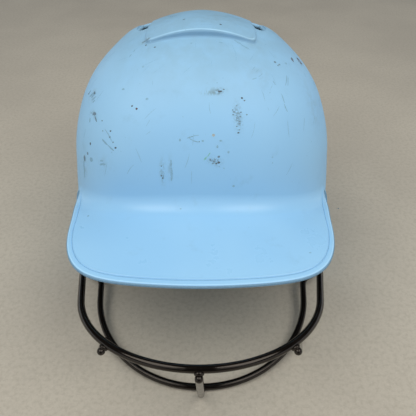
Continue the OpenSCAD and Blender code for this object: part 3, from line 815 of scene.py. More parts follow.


# wear on the shell
# Each row is a place, half the length and half the width in mm, the turn from level in degrees
# and a strength. The places of the first rows are pixels, read off the photograph. The
# others, mostly guessed, are the angle from the front and the height on the skin.
shownWear = {
    "specks": ((219, 91.2, 2.8, 1.5, 0, 0.9), (215, 161.6, 4, 2, -5, 0.85),
               (238, 117.5, 8.5, 2.6, -90, 0.55), (162.6, 174, 6.5, 1.4, -90, 0.45)),
    "streaks": ((214, 91.7, 6.6, 1.7, 5, 1.0), (162.6, 171.5, 7.5, 1.7, -90, 0.6),
                (170.5, 170, 7.5, 1.5, -90, 0.5), (215, 161.6, 3.6, 1.8, -5, 0.6),
                (238, 117.5, 8, 2.5, -90, 0.45), (146.3, 40.4, 4, 1.5, -130, 0.7),
                (94.5, 115, 4, 2, -25, 0.5)),
    "grime": ((219, 17, 13, 11, 0, 0.7), (92.5, 95, 7, 6, 55, 0.7), (259.1, 73, 9, 7, -20, 0.5),
              (84.5, 165, 14, 5, -95, 0.6)),
}
skinWear = {
    "specks": ((-55, -43, 3, 1.6, 15, 0.5),),
    "streaks": (),
    "grime": ((-44, -114, 9, 5, -60, 0.6), (43, -113, 9, 5, 60, 0.6), (60, -50, 22, 9, 80, 0.4),
              (-43, -11, 9, 6, 0, 0.35), (150, 20, 26, 14, 0, 0.7), (-128, 12, 24, 16, 20, 0.7),
              (95, -30, 18, 12, 30, 0.5), (-96, -40, 20, 10, -20, 0.5), (178, -60, 30, 16, 0, 0.5),
              (104, 92, 14, 9, 0, 0.8), (-104, 92, 14, 9, 0, 0.8)),
}
wearDeep = 12  # how far a patch reaches through the wall, in mm


def addColours(piece, name, colours):
    made = piece.data.color_attributes.new(name, "FLOAT_COLOR", "POINT")
    made.data.foreach_set("color", colours.ravel())


def paintWear(piece):
    co = vertexRows(piece)
    colour = np.zeros((len(co), 4))
    colour[:, 3] = 1
    for channel, kind in enumerate(("specks", "streaks", "grime")):
        rows = [(*fromPhoto(x, y), *rest) for x, y, *rest in shownWear[kind]] + list(skinWear[kind])
        for th, v, halfL, halfW, turned, strength in rows:
            p, x, y, z = skinFrame(th, v)
            step = 1 if th > 0 else -1
            p, x, y, z = seat(p), (seatTurn() @ x) * step, seatTurn() @ y * step, seatTurn() @ z
            level = x * math.cos(math.radians(turned)) + y * math.sin(math.radians(turned))
            away = (co - p) * 1000
            along, across = away @ level / halfL, away @ np.cross(z, level) / halfW
            spread = along ** 2 + across ** 2 + (away @ z / wearDeep) ** 2
            colour[:, channel] = np.maximum(colour[:, channel], strength * np.exp(-spread))
    addColours(piece, "wear", colour)


# painted by place: a painted highlight line along the panel's upper edge and painted shade at the
# foot of its step, each with the way past the edge and half a width in mm, and the bill's smoother top, in
# metres over the table
formMarks = {
    "edge": (-0.6, 0.42), "foot": (1.15, 0.75), "over": 60, "frontTo": 44, "frontFade": 4,
    "billTop": 0.15, "billSoft": 0.02, "billFlat": 0.5, "billFade": 0.3,
}


def paintForm(piece):
    co, normal = vertexRows(piece), vertexRows(piece, "normal")
    flat = (co * 1000 - seat(np.zeros(3)) * 1000) @ seatTurn()
    th = np.degrees(np.arctan2(flat[:, 0], -flat[:, 1]))
    past = np.hypot(flat[:, 0], flat[:, 1]) - panelR(th)
    fade = smooth((np.abs(th) - formMarks["frontTo"]) / formMarks["frontFade"])
    ahead = (flat[:, 2] > formMarks["over"]) * (1 - fade)
    colour = np.ones((len(co), 4))
    # red is the painted highlight line on the panel's edge, green the painted shade at the foot of its step
    for channel, name in enumerate(("edge", "foot")):
        middle, half = formMarks[name]
        colour[:, channel] = ahead * np.exp(-((past - middle) / half) ** 2)
    low = 1 - smooth((co[:, 2] - formMarks["billTop"]) / formMarks["billSoft"] + 1)
    colour[:, 2] = low * smooth((normal[:, 2] - formMarks["billFlat"]) / formMarks["billFade"])
    addColours(piece, "form", colour)


paintWear(shell)
paintForm(shell)


# small marks lie on the skin as thin paint, where the photograph shows them. They were read off it
# in pixels: dots as x, y, width and, where it differs, height; strokes as both ends and width.
shownMarks = {
    "dark": {"dots": (
        (110.1, 131.2, 1.6), (109.4, 137.3, 1.6, 2.2), (115.9, 148, 2), (90.5, 143.7, 1.2, 3),
        (131.9, 105.9, 1.8), (223.9, 89.4, 2, 1.2), (241.8, 98, 2.3), (240.7, 112.3, 1.4),
        (238.6, 132.9, 2.3, 1.6), (218.6, 162.3, 2.8, 2.2), (216.4, 163.7, 2, 1.4), (154.8, 47.3, 2, 1.2),
        (220.5, 24.6, 2.2, 1.2), (146, 45.1, 1.4, 1.6), (94.5, 92.3, 1.6, 2.4), (219.8, 91.4, 4.6, 2.2),
        (161.2, 175.5, 1.3), (160.9, 166.2, 1.2), (163, 178.2, 1.4, 1.8),
    )},
    "mid": {"dots": (
        (94.1, 114.2, 3.6, 3.4), (101.9, 120.9, 1.4), (112.6, 142.3, 1.2, 1.6), (87.6, 153, 1.2, 3.2),
        (84.4, 158, 1.5, 5), (244.3, 100.5, 1.8), (236.8, 105.5, 1.5), (233.6, 112.3, 3, 1.3),
        (232.9, 114.8, 2, 1.4), (237.9, 113.4, 2, 1.2), (240.4, 116.6, 1.8), (237.5, 118, 2.2, 1.4),
        (239.3, 121.2, 2, 1.3), (240.4, 123.7, 1.4), (237.1, 126.6, 1.8, 1.1), (238.9, 129.8, 2, 1.2),
        (247.1, 114.4, 1.5), (232.5, 110.1, 1.3), (218.2, 156.6, 2.4, 2.6), (210.4, 160.1, 1.8, 2.6),
        (214.3, 161.2, 2.4, 1.6), (212.5, 163.2, 2, 1.2), (192.5, 136.6, 1.5, 1.2), (274.9, 62.1, 2.2, 2),
        (279.5, 64.6, 1.8, 1.5), (277.9, 65.5, 1.4), (184, 19.4, 2.4, 1.1), (103, 131, 1.2),
        (88.7, 94.1, 1.3), (199, 142, 1.4),
    ), "strokes": (
        (94.8, 116, 96.8, 122, 1.2), (150.6, 37.6, 146.5, 40, 1.3), (145.4, 41, 142, 43.2, 1.3),
        (290.9, 57.1, 293.2, 60.5, 1.1),
    )},
    "faint": {"dots": (
        (146.9, 99.4, 2.8), (123, 89.1, 2.6), (227.9, 151.9, 2.2, 2.8), (217.5, 146.6, 2, 3),
        (221, 140.9, 3, 2), (203.2, 141.2, 2.6, 2), (180, 140.1, 2, 3), (102.3, 164.8, 6, 2),
        (101.6, 160.9, 3, 1.4), (91.6, 160, 3, 4), (285.6, 63.2, 2.4, 1.6), (233.2, 186.6, 3, 1.6),
        (142.7, 66.7, 2.4, 2), (88, 216, 2, 1.4), (180, 209, 2.2, 1.2), (310, 253, 2, 1.4),
        (89.8, 120, 1.2, 5), (191.2, 43, 2.4, 1.2), (220.9, 42.4, 4, 1.4),
    ), "strokes": (
        (101.6, 138.7, 107.5, 144.8, 1.6), (107.5, 144.8, 113.7, 150.9, 1.5), (104, 129, 112, 142, 0.9),
        (84.4, 163, 84.9, 178, 0.9), (192.5, 136.6, 199.6, 135.5, 1), (186.5, 138.4, 191.5, 136.9, 1.1),
        (189.3, 138.7, 200, 142.3, 1.1), (89.6, 96.6, 94.9, 91.2, 1), (90.8, 98.4, 96.2, 93, 0.9),
        (91.8, 100.4, 96.2, 96.2, 0.9), (92.8, 102.4, 95.6, 99.6, 0.9), (88.6, 93.6, 91, 90.6, 0.8),
        (272.7, 80.7, 275.6, 85.7, 0.9), (286.6, 74.3, 286, 85.7, 0.8), (288.1, 76, 288.1, 86.4, 0.7),
        (281.3, 92.9, 284.1, 103.6, 0.8), (284.1, 103.6, 287.7, 112.1, 0.8), (233.6, 40, 241, 44.4, 1.8),
        (241, 44.4, 249.4, 49.7, 1.6), (134.8, 49, 133, 52.4, 0.9), (131.6, 54, 129.4, 57.2, 0.9),
        (252, 79.4, 257, 77.4, 1), (252, 70, 255, 66, 0.9), (256, 72.5, 259, 68.8, 0.9),
        (258, 77, 262, 73, 0.9), (170.5, 160, 170.6, 167, 2.2), (170.4, 168, 170.8, 180, 2.4),
    )},
    "brown": {"dots": ((136.6, 108.4, 2.2, 2.4), (292.3, 59.8, 1.4, 2.6), (299.2, 60.8, 1.6, 3))},
    "green": {"strokes": ((210.4, 152.6, 207.6, 156.4, 1.1), (207.4, 156.6, 204.3, 159.8, 1.6))},
    "cream": {"dots": ((213.7, 134.8, 3, 3),)},
}
markTones = {
    "dark": (rgb(58, 68, 80), rgb(92, 108, 122)), "mid": (rgb(96, 120, 138), rgb(120, 150, 172)),
    "faint": (rgb(124, 164, 192), rgb(138, 184, 214)), "brown": (rgb(84, 62, 66), rgb(110, 100, 108)),
    "green": (rgb(112, 176, 170), rgb(140, 196, 196)), "cream": (rgb(158, 164, 160), rgb(172, 182, 182)),
    "ghost": (rgb(132, 176, 206), rgb(144, 192, 226)),
}

# older, fainter wear over the rest of the shell
strewn = {
    "specks": 130, "scratches": 120, "seed": 7, "clear": 26, "ventAt": (92, -116),
    "top": -150, "sideFrom": 60, "sideLow": 50, "frontLow": -6, "midFrom": 75, "midShare": 0.28,
    "speck": (0.22, 0.75), "bigShare": 0.12, "big": 1.3,
    "scratchL": (1.5, 7), "scratchHalfW": (0.16, 0.34), "scratchTurn": (75, 30),
}
# thin paint: length of one step, most bend, roughness of the sides, blunt tips, way off the skin
brush = {"step": 0.5, "least": 6, "bend": 0.12, "rough": (0.65, 1.15), "tip": 0.02, "lift": 0.04}


# marks clear of the shell's openings
def strewnMarks(dice):
    made = {"mid": [], "ghost": []}
    clear = [(form["earAt"], form["earDepth"]), strewn["ventAt"]]
    holes = [skin(turned * th, v) for th, v in clear for turned in (1, -1)]
    count = 0
    while count < strewn["specks"] + strewn["scratches"]:
        th = dice.uniform(-180, 180)
        low = strewn["sideLow"] if abs(th) > strewn["sideFrom"] else strewn["frontLow"]
        v = dice.uniform(strewn["top"], low)
        if min(np.linalg.norm(skin(th, v) - hole) for hole in holes) < strewn["clear"]:
            continue
        share = strewn["midShare"] if abs(th) > strewn["midFrom"] else 0.0
        tone = "mid" if dice.random() < share else "ghost"
        if count < strewn["specks"]:
            size = dice.uniform(*strewn["speck"])
            size *= strewn["big"] if dice.random() < strewn["bigShare"] else 1
            made[tone].append((th, v, size, size * dice.uniform(0.5, 1), dice.uniform(-90, 90)))
        else:
            length, halfW = dice.uniform(*strewn["scratchL"]), dice.uniform(*strewn["scratchHalfW"])
            made[tone].append((th, v, length, halfW, dice.gauss(*strewn["scratchTurn"])))
        count += 1
    return made


def thinPaint(name, points, faces, paint):
    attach(meshPiece(name, seat(np.array(points)), faces, paint, "shell_blue"), "root")


def paintMarks(tone, rows, dice):
    points, faces = [], []
    for th, v, halfL, halfW, turned in rows:
        level = 1000 * np.linalg.norm(seat(skin(th + 0.5, v)) - seat(skin(th - 0.5, v)))
        count = max(int(halfL * 2 / brush["step"]), brush["least"])
        bend = dice.uniform(-brush["bend"], brush["bend"]) * halfL
        start = len(points)
        for t in np.linspace(-1, 1, count + 1):
            wide = halfW * math.sqrt(max(1 - t * t, brush["tip"]))
            for side in (1, -1):
                out = side * wide * dice.uniform(*brush["rough"])
                along, across = t * halfL, out + bend * (1 - t * t)
                dx = along * cosd(turned) - across * sind(turned)
                dy = along * sind(turned) + across * cosd(turned)
                points.append(onSkin(th + dx / level, v - dy, -brush["lift"]))
        faces += [(a, a + 1, a + 3, a + 2) for a in range(start, start + 2 * count, 2)]
    thinPaint("shellMarks" + tone.title(), points, faces, markPaint(tone + "Marks", *markTones[tone]))


# fine lines along the bill's edge: painted shade in the groove, painted shade on the rounded front and a
# painted highlight line above
rimPaint = {
    "places": 241, "grooveTo": 64, "grooveHalf": 0.27, "grooveLift": 0.03,
    "rimTo": 60, "turns": (16, 30, 46, 62, 76, 88), "ahead": 0.05, "lift": 0.04, "foot": 0.06,
    "lineFrom": 0.7, "lineTo": 0.1,
    # colours of the painted shade in the groove and on the rim, and of the painted highlight line
    "groove": (rgb(120, 168, 206), rgb(136, 184, 218)),
    "shade": (rgb(108, 146, 176), rgb(120, 160, 190)),
    "line": (rgb(170, 216, 246), rgb(178, 222, 250)),
}


# painted shade along the bill's groove
def paintedGrooveShade():
    points = []
    for th in np.linspace(-rimPaint["grooveTo"], rimPaint["grooveTo"], rimPaint["places"]):
        edge = billEdge(abs(th))
        middle = edge - shellSet["grooveIn"]
        for v in (middle - rimPaint["grooveHalf"], middle + rimPaint["grooveHalf"]):
            sunk = float(grooveSink(th, edge - v)) - rimPaint["grooveLift"]
            points.append(skin(th, v, sunk, flare(th)))
    paint = markPaint("paintedGrooveShade", *rimPaint["groove"])
    thinPaint("shellGrooveShade", points, gridFaces(rimPaint["places"], 2), paint)


# painted shade on the bill's rounded rim, and a painted highlight line just above it
def rimShadeAndHighlight():
    rounded, wall, lift = shellSet["rimRound"], form["wall"], rimPaint["lift"]
    # rows of painted shade around the rim's rounding, down to its inner foot
    shade = [(rounded * (1 - math.sin(a)) - rimPaint["ahead"], rounded * (1 - math.cos(a)) - lift)
            for a in np.radians(rimPaint["turns"])]
    shade.append((-rimPaint["foot"], wall - rounded))
    # a painted highlight line just above the rounding
    line = [(rounded + rimPaint["lineFrom"], -lift), (rounded + rimPaint["lineTo"], -lift)]
    shorter = halfEdge(wall, shellSet["cols"])[0][1] - halfEdge(0, shellSet["cols"])[0][1]
    for name, rows in (("Shade", shade), ("Line", line)):
        points = []
        for th in np.linspace(-rimPaint["rimTo"], rimPaint["rimTo"], rimPaint["places"]):
            for inset, depth in rows:
                v = billEdge(abs(th)) + shorter * depth / wall - inset
                points.append(skin(th, v, depth, flare(th)))
        paint = markPaint("rim" + name, *rimPaint[name.lower()])
        thinPaint("shellRim" + name, points, gridFaces(rimPaint["places"], len(rows)), paint)


paintedGrooveShade()
rimShadeAndHighlight()
dice = random.Random(strewn["seed"])
spread = strewnMarks(dice)
for tone in markTones:
    shown = shownMarks.get(tone, {})
    rows = [dotRow(*dot) for dot in shown.get("dots", ())]
    rows += [strokeRow(*stroke) for stroke in shown.get("strokes", ())]
    paintMarks(tone, rows + spread.get(tone, []), dice)
print("stage: wear and marks")


# wire face guard
guard = {
    "wireR": 2.7, "ahead": 42, "depth": 64, "behind": 52.5,
    "upper": {"bow": 90.5, "sweep": 79, "slope": 5, "clip": form["upperClip"], "run": 0, "strut": 42},
    "lower": {"bow": 91.5, "sweep": 84, "slope": -16, "clip": form["lowerClip"], "run": 22, "strut": 57},
    # the wire's middle over the flap: gap under the clip, the clip's foot, gap in the clip, radius
    "wireLift": 0.2 + 1.4 + 0.15 + 2.7,
    "clipArm": 11, "legLead": 10, "legTail": 9,
    "bendRoom": 7, "bendShare": 0.48, "bendPoints": 11, "bowPoints": 121,
    "weldGap": 0.15, "strutEnd": 1, "strutDome": 0.6, "bead": (3.0, 3.2, 2.0),
    "sides": 28, "barStep": 2.2, "strutStep": 2.5,
    "coatWaves": ((0.006, 0.37), (0.004, 1.13)),  # share of the radius, turn in each step
}


def onBow(start, bar, at):
    s = bar["bow"] * (1 - cosd(at))
    step = np.stack([bar["bow"] * sind(at), s * cosd(bar["slope"]), -s * sind(bar["slope"])], -1)
    return start + step


def bowTangent(bar, at):
    slope = bar["slope"]
    return np.array([float(cosd(at)), float(sind(at) * cosd(slope)), float(-sind(at) * sind(slope))])


def clipWire(depth, along):
    p, x, y, z = skinFrame(form["clipAt"], depth)
    return p + x * along - y * guard["clipArm"] + z * guard["wireLift"]


# the middle of each bow, the lower one lying on the table
def guardStarts():
    lean = math.radians(form["lean"])
    upper = np.array([0, -form["browReach"] - form["billReach"] - guard["ahead"], -guard["depth"]])
    lowerY = upper[1] + guard["behind"]
    lowerZ = -form["tableDrop"] + lowerY * math.tan(lean) + guard["wireR"] / math.cos(lean)
    return upper, np.array([0, lowerY, lowerZ])


# replaces each marked corner with a smooth bend, short of halfway to the next points
def roundCorners(path, corners, room):
    out = []
    for i, p in enumerate(path):
        if i in corners:
            a, b = (p + unit(q - p) * min(room, np.linalg.norm(q - p) * guard["bendShare"])
                    for q in (path[i - 1], path[i + 1]))
            for t in np.linspace(0, 1, guard["bendPoints"]):
                out.append((1 - t) ** 2 * a + 2 * t * (1 - t) * p + t * t * b)
        else:
            out.append(p)
    return np.array(out)


def evenPath(path, step):
    gaps = np.linalg.norm(np.diff(path, axis=0), axis=1)
    length = np.concatenate([[0], np.cumsum(gaps)])
    at = np.linspace(0, length[-1], max(int(length[-1] / step), 2) + 1)
    return np.stack([np.interp(at, length, path[:, k]) for k in range(3)], -1)


def guardBar(name, node, start, bar):
    tail, lead = clipWire(bar["clip"], guard["legTail"]), clipWire(bar["clip"], -guard["legLead"])
    room = guard["bendRoom"]
    keep = bar["sweep"] - (0 if bar["run"] else math.degrees(room / bar["bow"]))
    arc = onBow(start, bar, np.linspace(-keep, keep, guard["bowPoints"]))
    end = onBow(start, bar, float(bar["sweep"])) + bowTangent(bar, bar["sweep"]) * bar["run"]
    mirror = np.array([-1, 1, 1])
    path = [tail * mirror, lead * mirror, end * mirror, *arc, end, lead, tail]
    last = len(path) - 1
    path = evenPath(roundCorners(path, {1, 2, last - 1, last - 2}, room), guard["barStep"])
    thick = 1 + sum(share * np.sin(np.arange(len(path)) * turn) for share, turn in guard["coatWaves"])
    points, faces = tubePoints(seat(path), guard["wireR"] / 1000 * thick, guard["sides"])
    standFor(faceOutward(meshPiece(name, points, faces, wireCoat, "coated_wire")), node)


upperStart, lowerStart = guardStarts()
guardBar("upperGuardBar", "upper_bar", upperStart, guard["upper"])
guardBar("lowerGuardBar", "lower_bar", lowerStart, guard["lower"])


# both ends of a strut in front of the bows, and the places on the bows that it crosses
def strutEnds(turned):
    upperAt, lowerAt = (turned * guard[which]["strut"] for which in ("upper", "lower"))
    p = onBow(upperStart, guard["upper"], float(upperAt))
    q = onBow(lowerStart, guard["lower"], float(lowerAt))
    w = unit(q - p)
    n = unit(np.cross(w, bowTangent(guard["upper"], upperAt)))
    m = unit(np.cross(w, bowTangent(guard["lower"], lowerAt)))
    off = guard["wireR"] * 2 + guard["weldGap"]
    a = p - n * off * np.sign(n[1]) - w * guard["strutEnd"]
    b = q - m * off * np.sign(m[1]) - w * guard["strutEnd"]
    return a, b, p, q


# fused coat where a strut passes a bar, kept off the floor
def weldBead(a, along, wire):
    on = a + along * ((wire - a) @ along)
    away = unit(wire - on)
    reach, side, thick = guard["bead"]
    turnTo = np.stack([along * reach, unit(np.cross(along, away)) * side, away * thick], 1)
    ball = bmesh.new()
    bmesh.ops.create_icosphere(ball, subdivisions=3, radius=1)
    for vert in ball.verts:
        vert.co = Vector(seat((on + wire) / 2 + turnTo @ np.array(vert.co)))
        vert.co.z = max(vert.co.z, 0.0)
    bead = bpy.data.meshes.new("bead")
    ball.to_mesh(bead)
    ball.free()
    return linkPiece("bead", bead)


def guardStrut(name, node, turned):
    a, b, p, q = strutEnds(turned)
    along = unit(b - a)
    inset = along * guard["wireR"] * guard["strutDome"]
    path = evenPath(np.array([a + inset, b - inset]), guard["strutStep"])
    points, faces = tubePoints(seat(path), guard["wireR"] / 1000, guard["sides"], domed=True)
    rod = meshPiece(name, points, faces, wireCoat, "coated_wire")
    standFor(faceOutward(joinPieces([rod] + [weldBead(a, along, wire) for wire in (p, q)])), node)


for side, turned in (("centre", 0), ("left", 1), ("right", -1)):
    guardStrut(side + "GuardStrut", side + "_strut", turned)
print("stage: face guard")


# foam liners and comfort pads
padSet = {
    "linerOff": 3.6, "linerT": 13, "linerRound": 3.2, "linerStep": 4.5, "linerSharp": 50,
    "grooveDeep": 2.2, "grooveHalf": 1.3, "grooveIn": 6, "grooveFade": 5,
    "padOff": 17.0, "padT": 9, "padRound": 4.5, "padStep": 3.0,
    "rimShare": 0.5, "puff": 0.32, "puffFull": 0.5,
    "channelHalf": 2.4, "channelKeep": 0.42, "sewnIn": 1.0, "sewnFrom": 0.72, "weld": 2e-6,
    "pipeR": 0.95, "pipeLift": 0.1, "pipeSides": 10, "rimPoints": 40,
    "stitch": 2.3, "stitchGap": 1.3, "stitchStep": 0.4, "stitchIn": 4, "stitchLift": 0.12, "threadR": 0.24,
    "frames": 14, "cap": 3.0,
    "edgeLines": (0, 0.2, 0.7, 1.5, 2.6, 4.0), "seamLines": (-2.6, -1.7, -1.1, -0.55, 0, 0.55, 1.1, 1.7, 2.6),
    "sideBow": (0.16, 0.3), "endBow": (0.1, 0.25),  # how much the corners draw in, over what share
    "padFill": 0.7, "earFill": 0.8,
    "air": {"quality": 5, "mass": 0.02, "tension_stiffness": 12, "compression_stiffness": 12,
            "shear_stiffness": 4, "bending_stiffness": 0.4, "use_pressure": True,
            "uniform_pressure_force": 5.0, "vertex_group_mass": "sewn"},
}


# what is left of a side's length where its corner draws in
def cornerIn(t, depth, part):
    e = np.minimum(np.minimum(t, 1 - t) / part, 1)
    return 1 - depth * (1 - np.sqrt(1 - (1 - e) ** 2))


def roundIn(dist, radius):
    return np.sqrt(1 - (1 - np.clip(dist / radius, 0, 1)) ** 2)


# places along one side of a pad: close at its ends and at each sewn or cut line
def gridLines(length, lines, step):
    edge, near = np.array(padSet["edgeLines"]), np.array(padSet["seamLines"])
    fixed = np.concatenate([edge, length - edge] + [at * length + near for at in lines])
    free = np.linspace(0, length, int(length / step) + 1)
    free = [x for x in free if np.min(np.abs(fixed - x)) > step * 0.6]
    return np.unique(np.concatenate([fixed, free])) / length


# a square of shares from 0 to 1 drawn onto a round disc
def onDisc(u, w):
    x, y = 2 * u - 1, 2 * w - 1
    return x * np.sqrt(1 - y * y / 2), y * np.sqrt(1 - x * x / 2)


# how far a pad bulges between its sides, from 0 to 1
def bulge(u, w):
    return (1 - np.abs(2 * u - 1) ** 4) * (1 - np.abs(2 * w - 1) ** 4)


# a pad on the shell's inside, either wrapped between two angles and heights or a round one
class Pad:
    def __init__(self, off, th=None, v=None, disc=None):
        self.off, self.th, self.v, self.disc = off, th, v, disc
        if disc:
            self.wide = self.high = 2 * disc
        else:
            middle = skin(np.linspace(th[0], th[1], 30), (v[0] + v[1]) / 2, off)
            self.wide = float(np.linalg.norm(np.diff(middle, axis=0), axis=1).sum())
            self.high = v[1] - v[0]

    def place(self, u, w, t):
        if self.disc:
            x, y = onDisc(u, w)
            v = np.hypot(x, y) * self.disc - form["domeArc"]
            return skin(np.degrees(np.arctan2(x, -y)), v, self.off + t)
        half = (self.th[1] - self.th[0]) / 2 * cornerIn(w, *padSet["sideBow"])
        tall = (self.v[1] - self.v[0]) / 2 * cornerIn(u, *padSet["endBow"])
        th = sum(self.th) / 2 + half * (2 * u - 1)
        return skin(th, sum(self.v) / 2 + tall * (2 * w - 1), self.off + t)

    def edgeGap(self, u, w):
        if self.disc:
            return self.disc * (1 - np.hypot(*onDisc(u, w)))
        return np.minimum(np.minimum(u, 1 - u) * self.wide, np.minimum(w, 1 - w) * self.high)

    def grid(self, upright, level, step):
        return gridLines(self.wide, upright, step)[:, None], gridLines(self.high, level, step)[None, :]

    # from 0 to 1 near the pad's sewn or cut lines
    def nearLines(self, u, w, upright, level, half, power):
        near = np.zeros_like(self.edgeGap(u, w))
        for share, size, lines in ((u, self.wide, upright), (w, self.high, level)):
            for at in lines:
                near = np.maximum(near, np.exp(-(np.abs(share - at) * size / half) ** power))
        return near


# front and back are grids of places that meet at their rims
def closedPad(name, front, back, held, material, slot, around=False):
    cols, rows = front.shape[:2]
    points = np.concatenate([front.reshape(-1, 3), back.reshape(-1, 3)])
    faces = gridFaces(cols, rows, closed=around)
    faces += [f[::-1] for f in gridFaces(cols, rows, closed=around, start=cols * rows)]
    piece = meshPiece(name, seat(points), faces, material, slot)
    mark = piece.data.attributes.new("held", "FLOAT", "POINT")
    mark.data.foreach_set("value", np.concatenate([held.ravel(), np.ones(cols * rows)]).astype(float))
    return faceOutward(piece, padSet["weld"])


# air pressure under the cloth, which is sewn down at its rim and channels
def swellCloth(piece):
    held = np.empty(len(piece.data.vertices))
    piece.data.attributes["held"].data.foreach_get("value", held)
    sewn = piece.vertex_groups.new(name="sewn")
    sewn.add([int(i) for i in np.nonzero(held > 0.5)[0]], 1.0, "REPLACE")
    start = vertexRows(piece)
    swelling = piece.modifiers.new("swell", "CLOTH")
    for name, value in padSet["air"].items():
        setattr(swelling.settings, name, value)
    swelling.settings.effector_weights.gravity = 0
    swelling.collision_settings.use_collision = False
    swelling.point_cache.frame_start = 1
    swelling.point_cache.frame_end = padSet["frames"]
    for step in range(1, padSet["frames"] + 1):
        bpy.context.scene.frame_set(step)
    made = piece.evaluated_get(bpy.context.evaluated_depsgraph_get())
    ended = np.empty(start.size)
    made.to_mesh().vertices.foreach_get("co", ended)
    made.to_mesh_clear()
    piece.modifiers.remove(swelling)
    bpy.context.scene.frame_set(1)
    move = ended.reshape(-1, 3) - start
    far = np.linalg.norm(move, axis=1, keepdims=True)
    move = move * np.minimum(1, padSet["cap"] / 1000 / np.maximum(far, 1e-9))
    piece.data.vertices.foreach_set("co", (start + move).ravel())
    print(piece.name, "swelled by up to", round(float(far.max()) * 1000, 2), "mm")


# short raised threads along a sewn line
def stitchRow(name, path):
    fine = padSet["stitchStep"]
    path = evenPath(np.asarray(path), fine)
    every = int((padSet["stitch"] + padSet["stitchGap"]) / fine)
    threads = []
    for i in range(1, len(path) - every, every):
        run = path[i:i + int(padSet["stitch"] / fine) + 1]
        # each thread thins toward both of its ends
        thick = padSet["threadR"] / 1000 * np.sin(np.linspace(0.35, math.pi - 0.35, len(run))) ** 0.4
        threads.append(tubePoints(seat(run), thick, 6))
    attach(meshPiece(name, *gather(threads), thread, "pad_cloth"), "root")


def piping(name, path):
    points, faces = tubePoints(seat(path), padSet["pipeR"] / 1000, padSet["pipeSides"], closed=True)
    return faceOutward(meshPiece(name + "Piping", points, faces, cloth))


# shares around a pad's rim
def rimPath(count):
    t = np.linspace(0, 1, count, endpoint=False)
    u = np.concatenate([t, t * 0 + 1, 1 - t, t * 0])
    w = np.concatenate([t * 0, t, t * 0 + 1, 1 - t])
    return u, w


def finishSoft(piece, node):
    standFor(piece, node)


def linerPiece(name, pad, upright, level):
    u, w = pad.grid(upright, level, padSet["linerStep"])
    gap = pad.edgeGap(u, w)
    thick, rounded = padSet["linerT"], padSet["linerRound"]
    t = thick * (1 - (1 - roundIn(gap, rounded)) * rounded / thick)
    t = np.where(gap < 1e-6, 0, t)
    inner = smooth((gap - padSet["grooveIn"]) / padSet["grooveFade"])
    t = t - padSet["grooveDeep"] * pad.nearLines(u, w, upright, level, padSet["grooveHalf"], 4) * inner
    front, back = pad.place(u, w, t), pad.place(u, w, t * 0)
    piece = closedPad(name + "Liner", front, back, t * 0 + 1, foam, "liner_foam")
    piece.data.set_sharp_from_angle(angle=math.radians(padSet["linerSharp"]))
    finishSoft(piece, name + "_liner")


def sewnPad(name, node, pad, upright, level=()):
    u, w = pad.grid(upright, level, padSet["padStep"])
    gap = pad.edgeGap(u, w)
    sewn = pad.nearLines(u, w, upright, level, padSet["channelHalf"], 2)
    keep = padSet["channelKeep"]
    high = padSet["padT"] * (padSet["rimShare"] + padSet["puff"] * bulge(u, w))
    t = high * roundIn(gap, padSet["padRound"]) * (1 - (1 - keep) * sewn)
    held = ((gap < padSet["sewnIn"]) | (sewn > padSet["sewnFrom"])).astype(float)
    piece = closedPad(name, pad.place(u, w, t), pad.place(u, w, t * 0), held, cloth, "pad_cloth")
    swellCloth(piece)
    rim = pad.place(*rimPath(padSet["rimPoints"]), padSet["pipeR"] + padSet["pipeLift"])
    finishSoft(joinPieces([piece, piping(name, rim)]), node)
    for kind, lines, size, count in (("Stitches", upright, pad.high, 60),
                                     ("CrossStitches", level, pad.wide, 90)):
        t = np.linspace(padSet["stitchIn"] / size, 1 - padSet["stitchIn"] / size, count)
        for i, at in enumerate(lines):
            u, w = (at + t * 0, t) if kind == "Stitches" else (t, at + t * 0)
            high = padSet["padT"] * (padSet["rimShare"] + padSet["puff"] * bulge(u, w))
            stitchRow(f"{name}{kind}{i + 1}", pad.place(u, w, high * keep + padSet["stitchLift"]))


# thick pad around the ear hole, from the hole to a nearly square rim
earSet = {
    "wrap": ((73, 113), (29, 89)), "holeR": 19.2, "ways": 88, "square": 5, "rimKeep": 0.995,
    "shares": (0, 0.02, 0.07, 0.15, 0.26, 0.4, 0.5, 0.6, 0.74, 0.85, 0.93, 0.98, 1.0),
    "thick": 14, "rimShare": 0.55, "puff": 0.3, "puffFull": 0.45, "crest": 0.7, "round": 5.5,
    "sewnIn": 1.2, "pipeIn": 1.1,
}


def earPad(name, node, turned):
    off = padSet["linerOff"]
    pad = Pad(off, *earSet["wrap"])
    a = np.linspace(0, 2 * math.pi, earSet["ways"], endpoint=False)[:, None]
    c, s = np.cos(a), np.sin(a)
    square = (np.abs(c) ** earSet["square"] + np.abs(s) ** earSet["square"]) ** (-1 / earSet["square"])
    rimU, rimW = (0.5 + 0.5 * way * square * earSet["rimKeep"] for way in (c, s))
    share = np.array(earSet["shares"])[None, :]
    th, v, holeR = form["earAt"], form["earDepth"], earSet["holeR"]

    def ends(t):
        degree = np.radians(1) * np.linalg.norm(skin(th, v, off + t)[..., :2], axis=-1)
        return skin(th + holeR * c / degree, v + holeR * s, off + t), pad.place(rimU, rimW, t)

    def between(t):
        hole, rim = ends(t)
        return hole + (rim - hole) * share[..., None]

    hole, rim = ends(np.zeros_like(a))
    gap = np.minimum(share, 1 - share) * np.linalg.norm(rim - hole, axis=-1)
    puff = earSet["puff"] * np.sin(np.pi * share) ** earSet["crest"]
    t = earSet["thick"] * (earSet["rimShare"] + puff) * roundIn(gap, earSet["round"])
    flip = np.array([turned, 1, 1])
    front, back = between(t) * flip, between(t * 0) * flip
    held = (gap < earSet["sewnIn"]).astype(float)
    piece = closedPad(name, front, back, held, cloth, "pad_cloth", around=True)
    swellCloth(piece)
    loops = []
    for path in (back[:, 0], back[:, -1]):
        inward = unit(np.array([-path[:, 0], -path[:, 1], path[:, 0] * 0]).T)
        loops.append(piping(name, path + inward * earSet["pipeIn"]))
    finishSoft(joinPieces([piece] + loops), node)


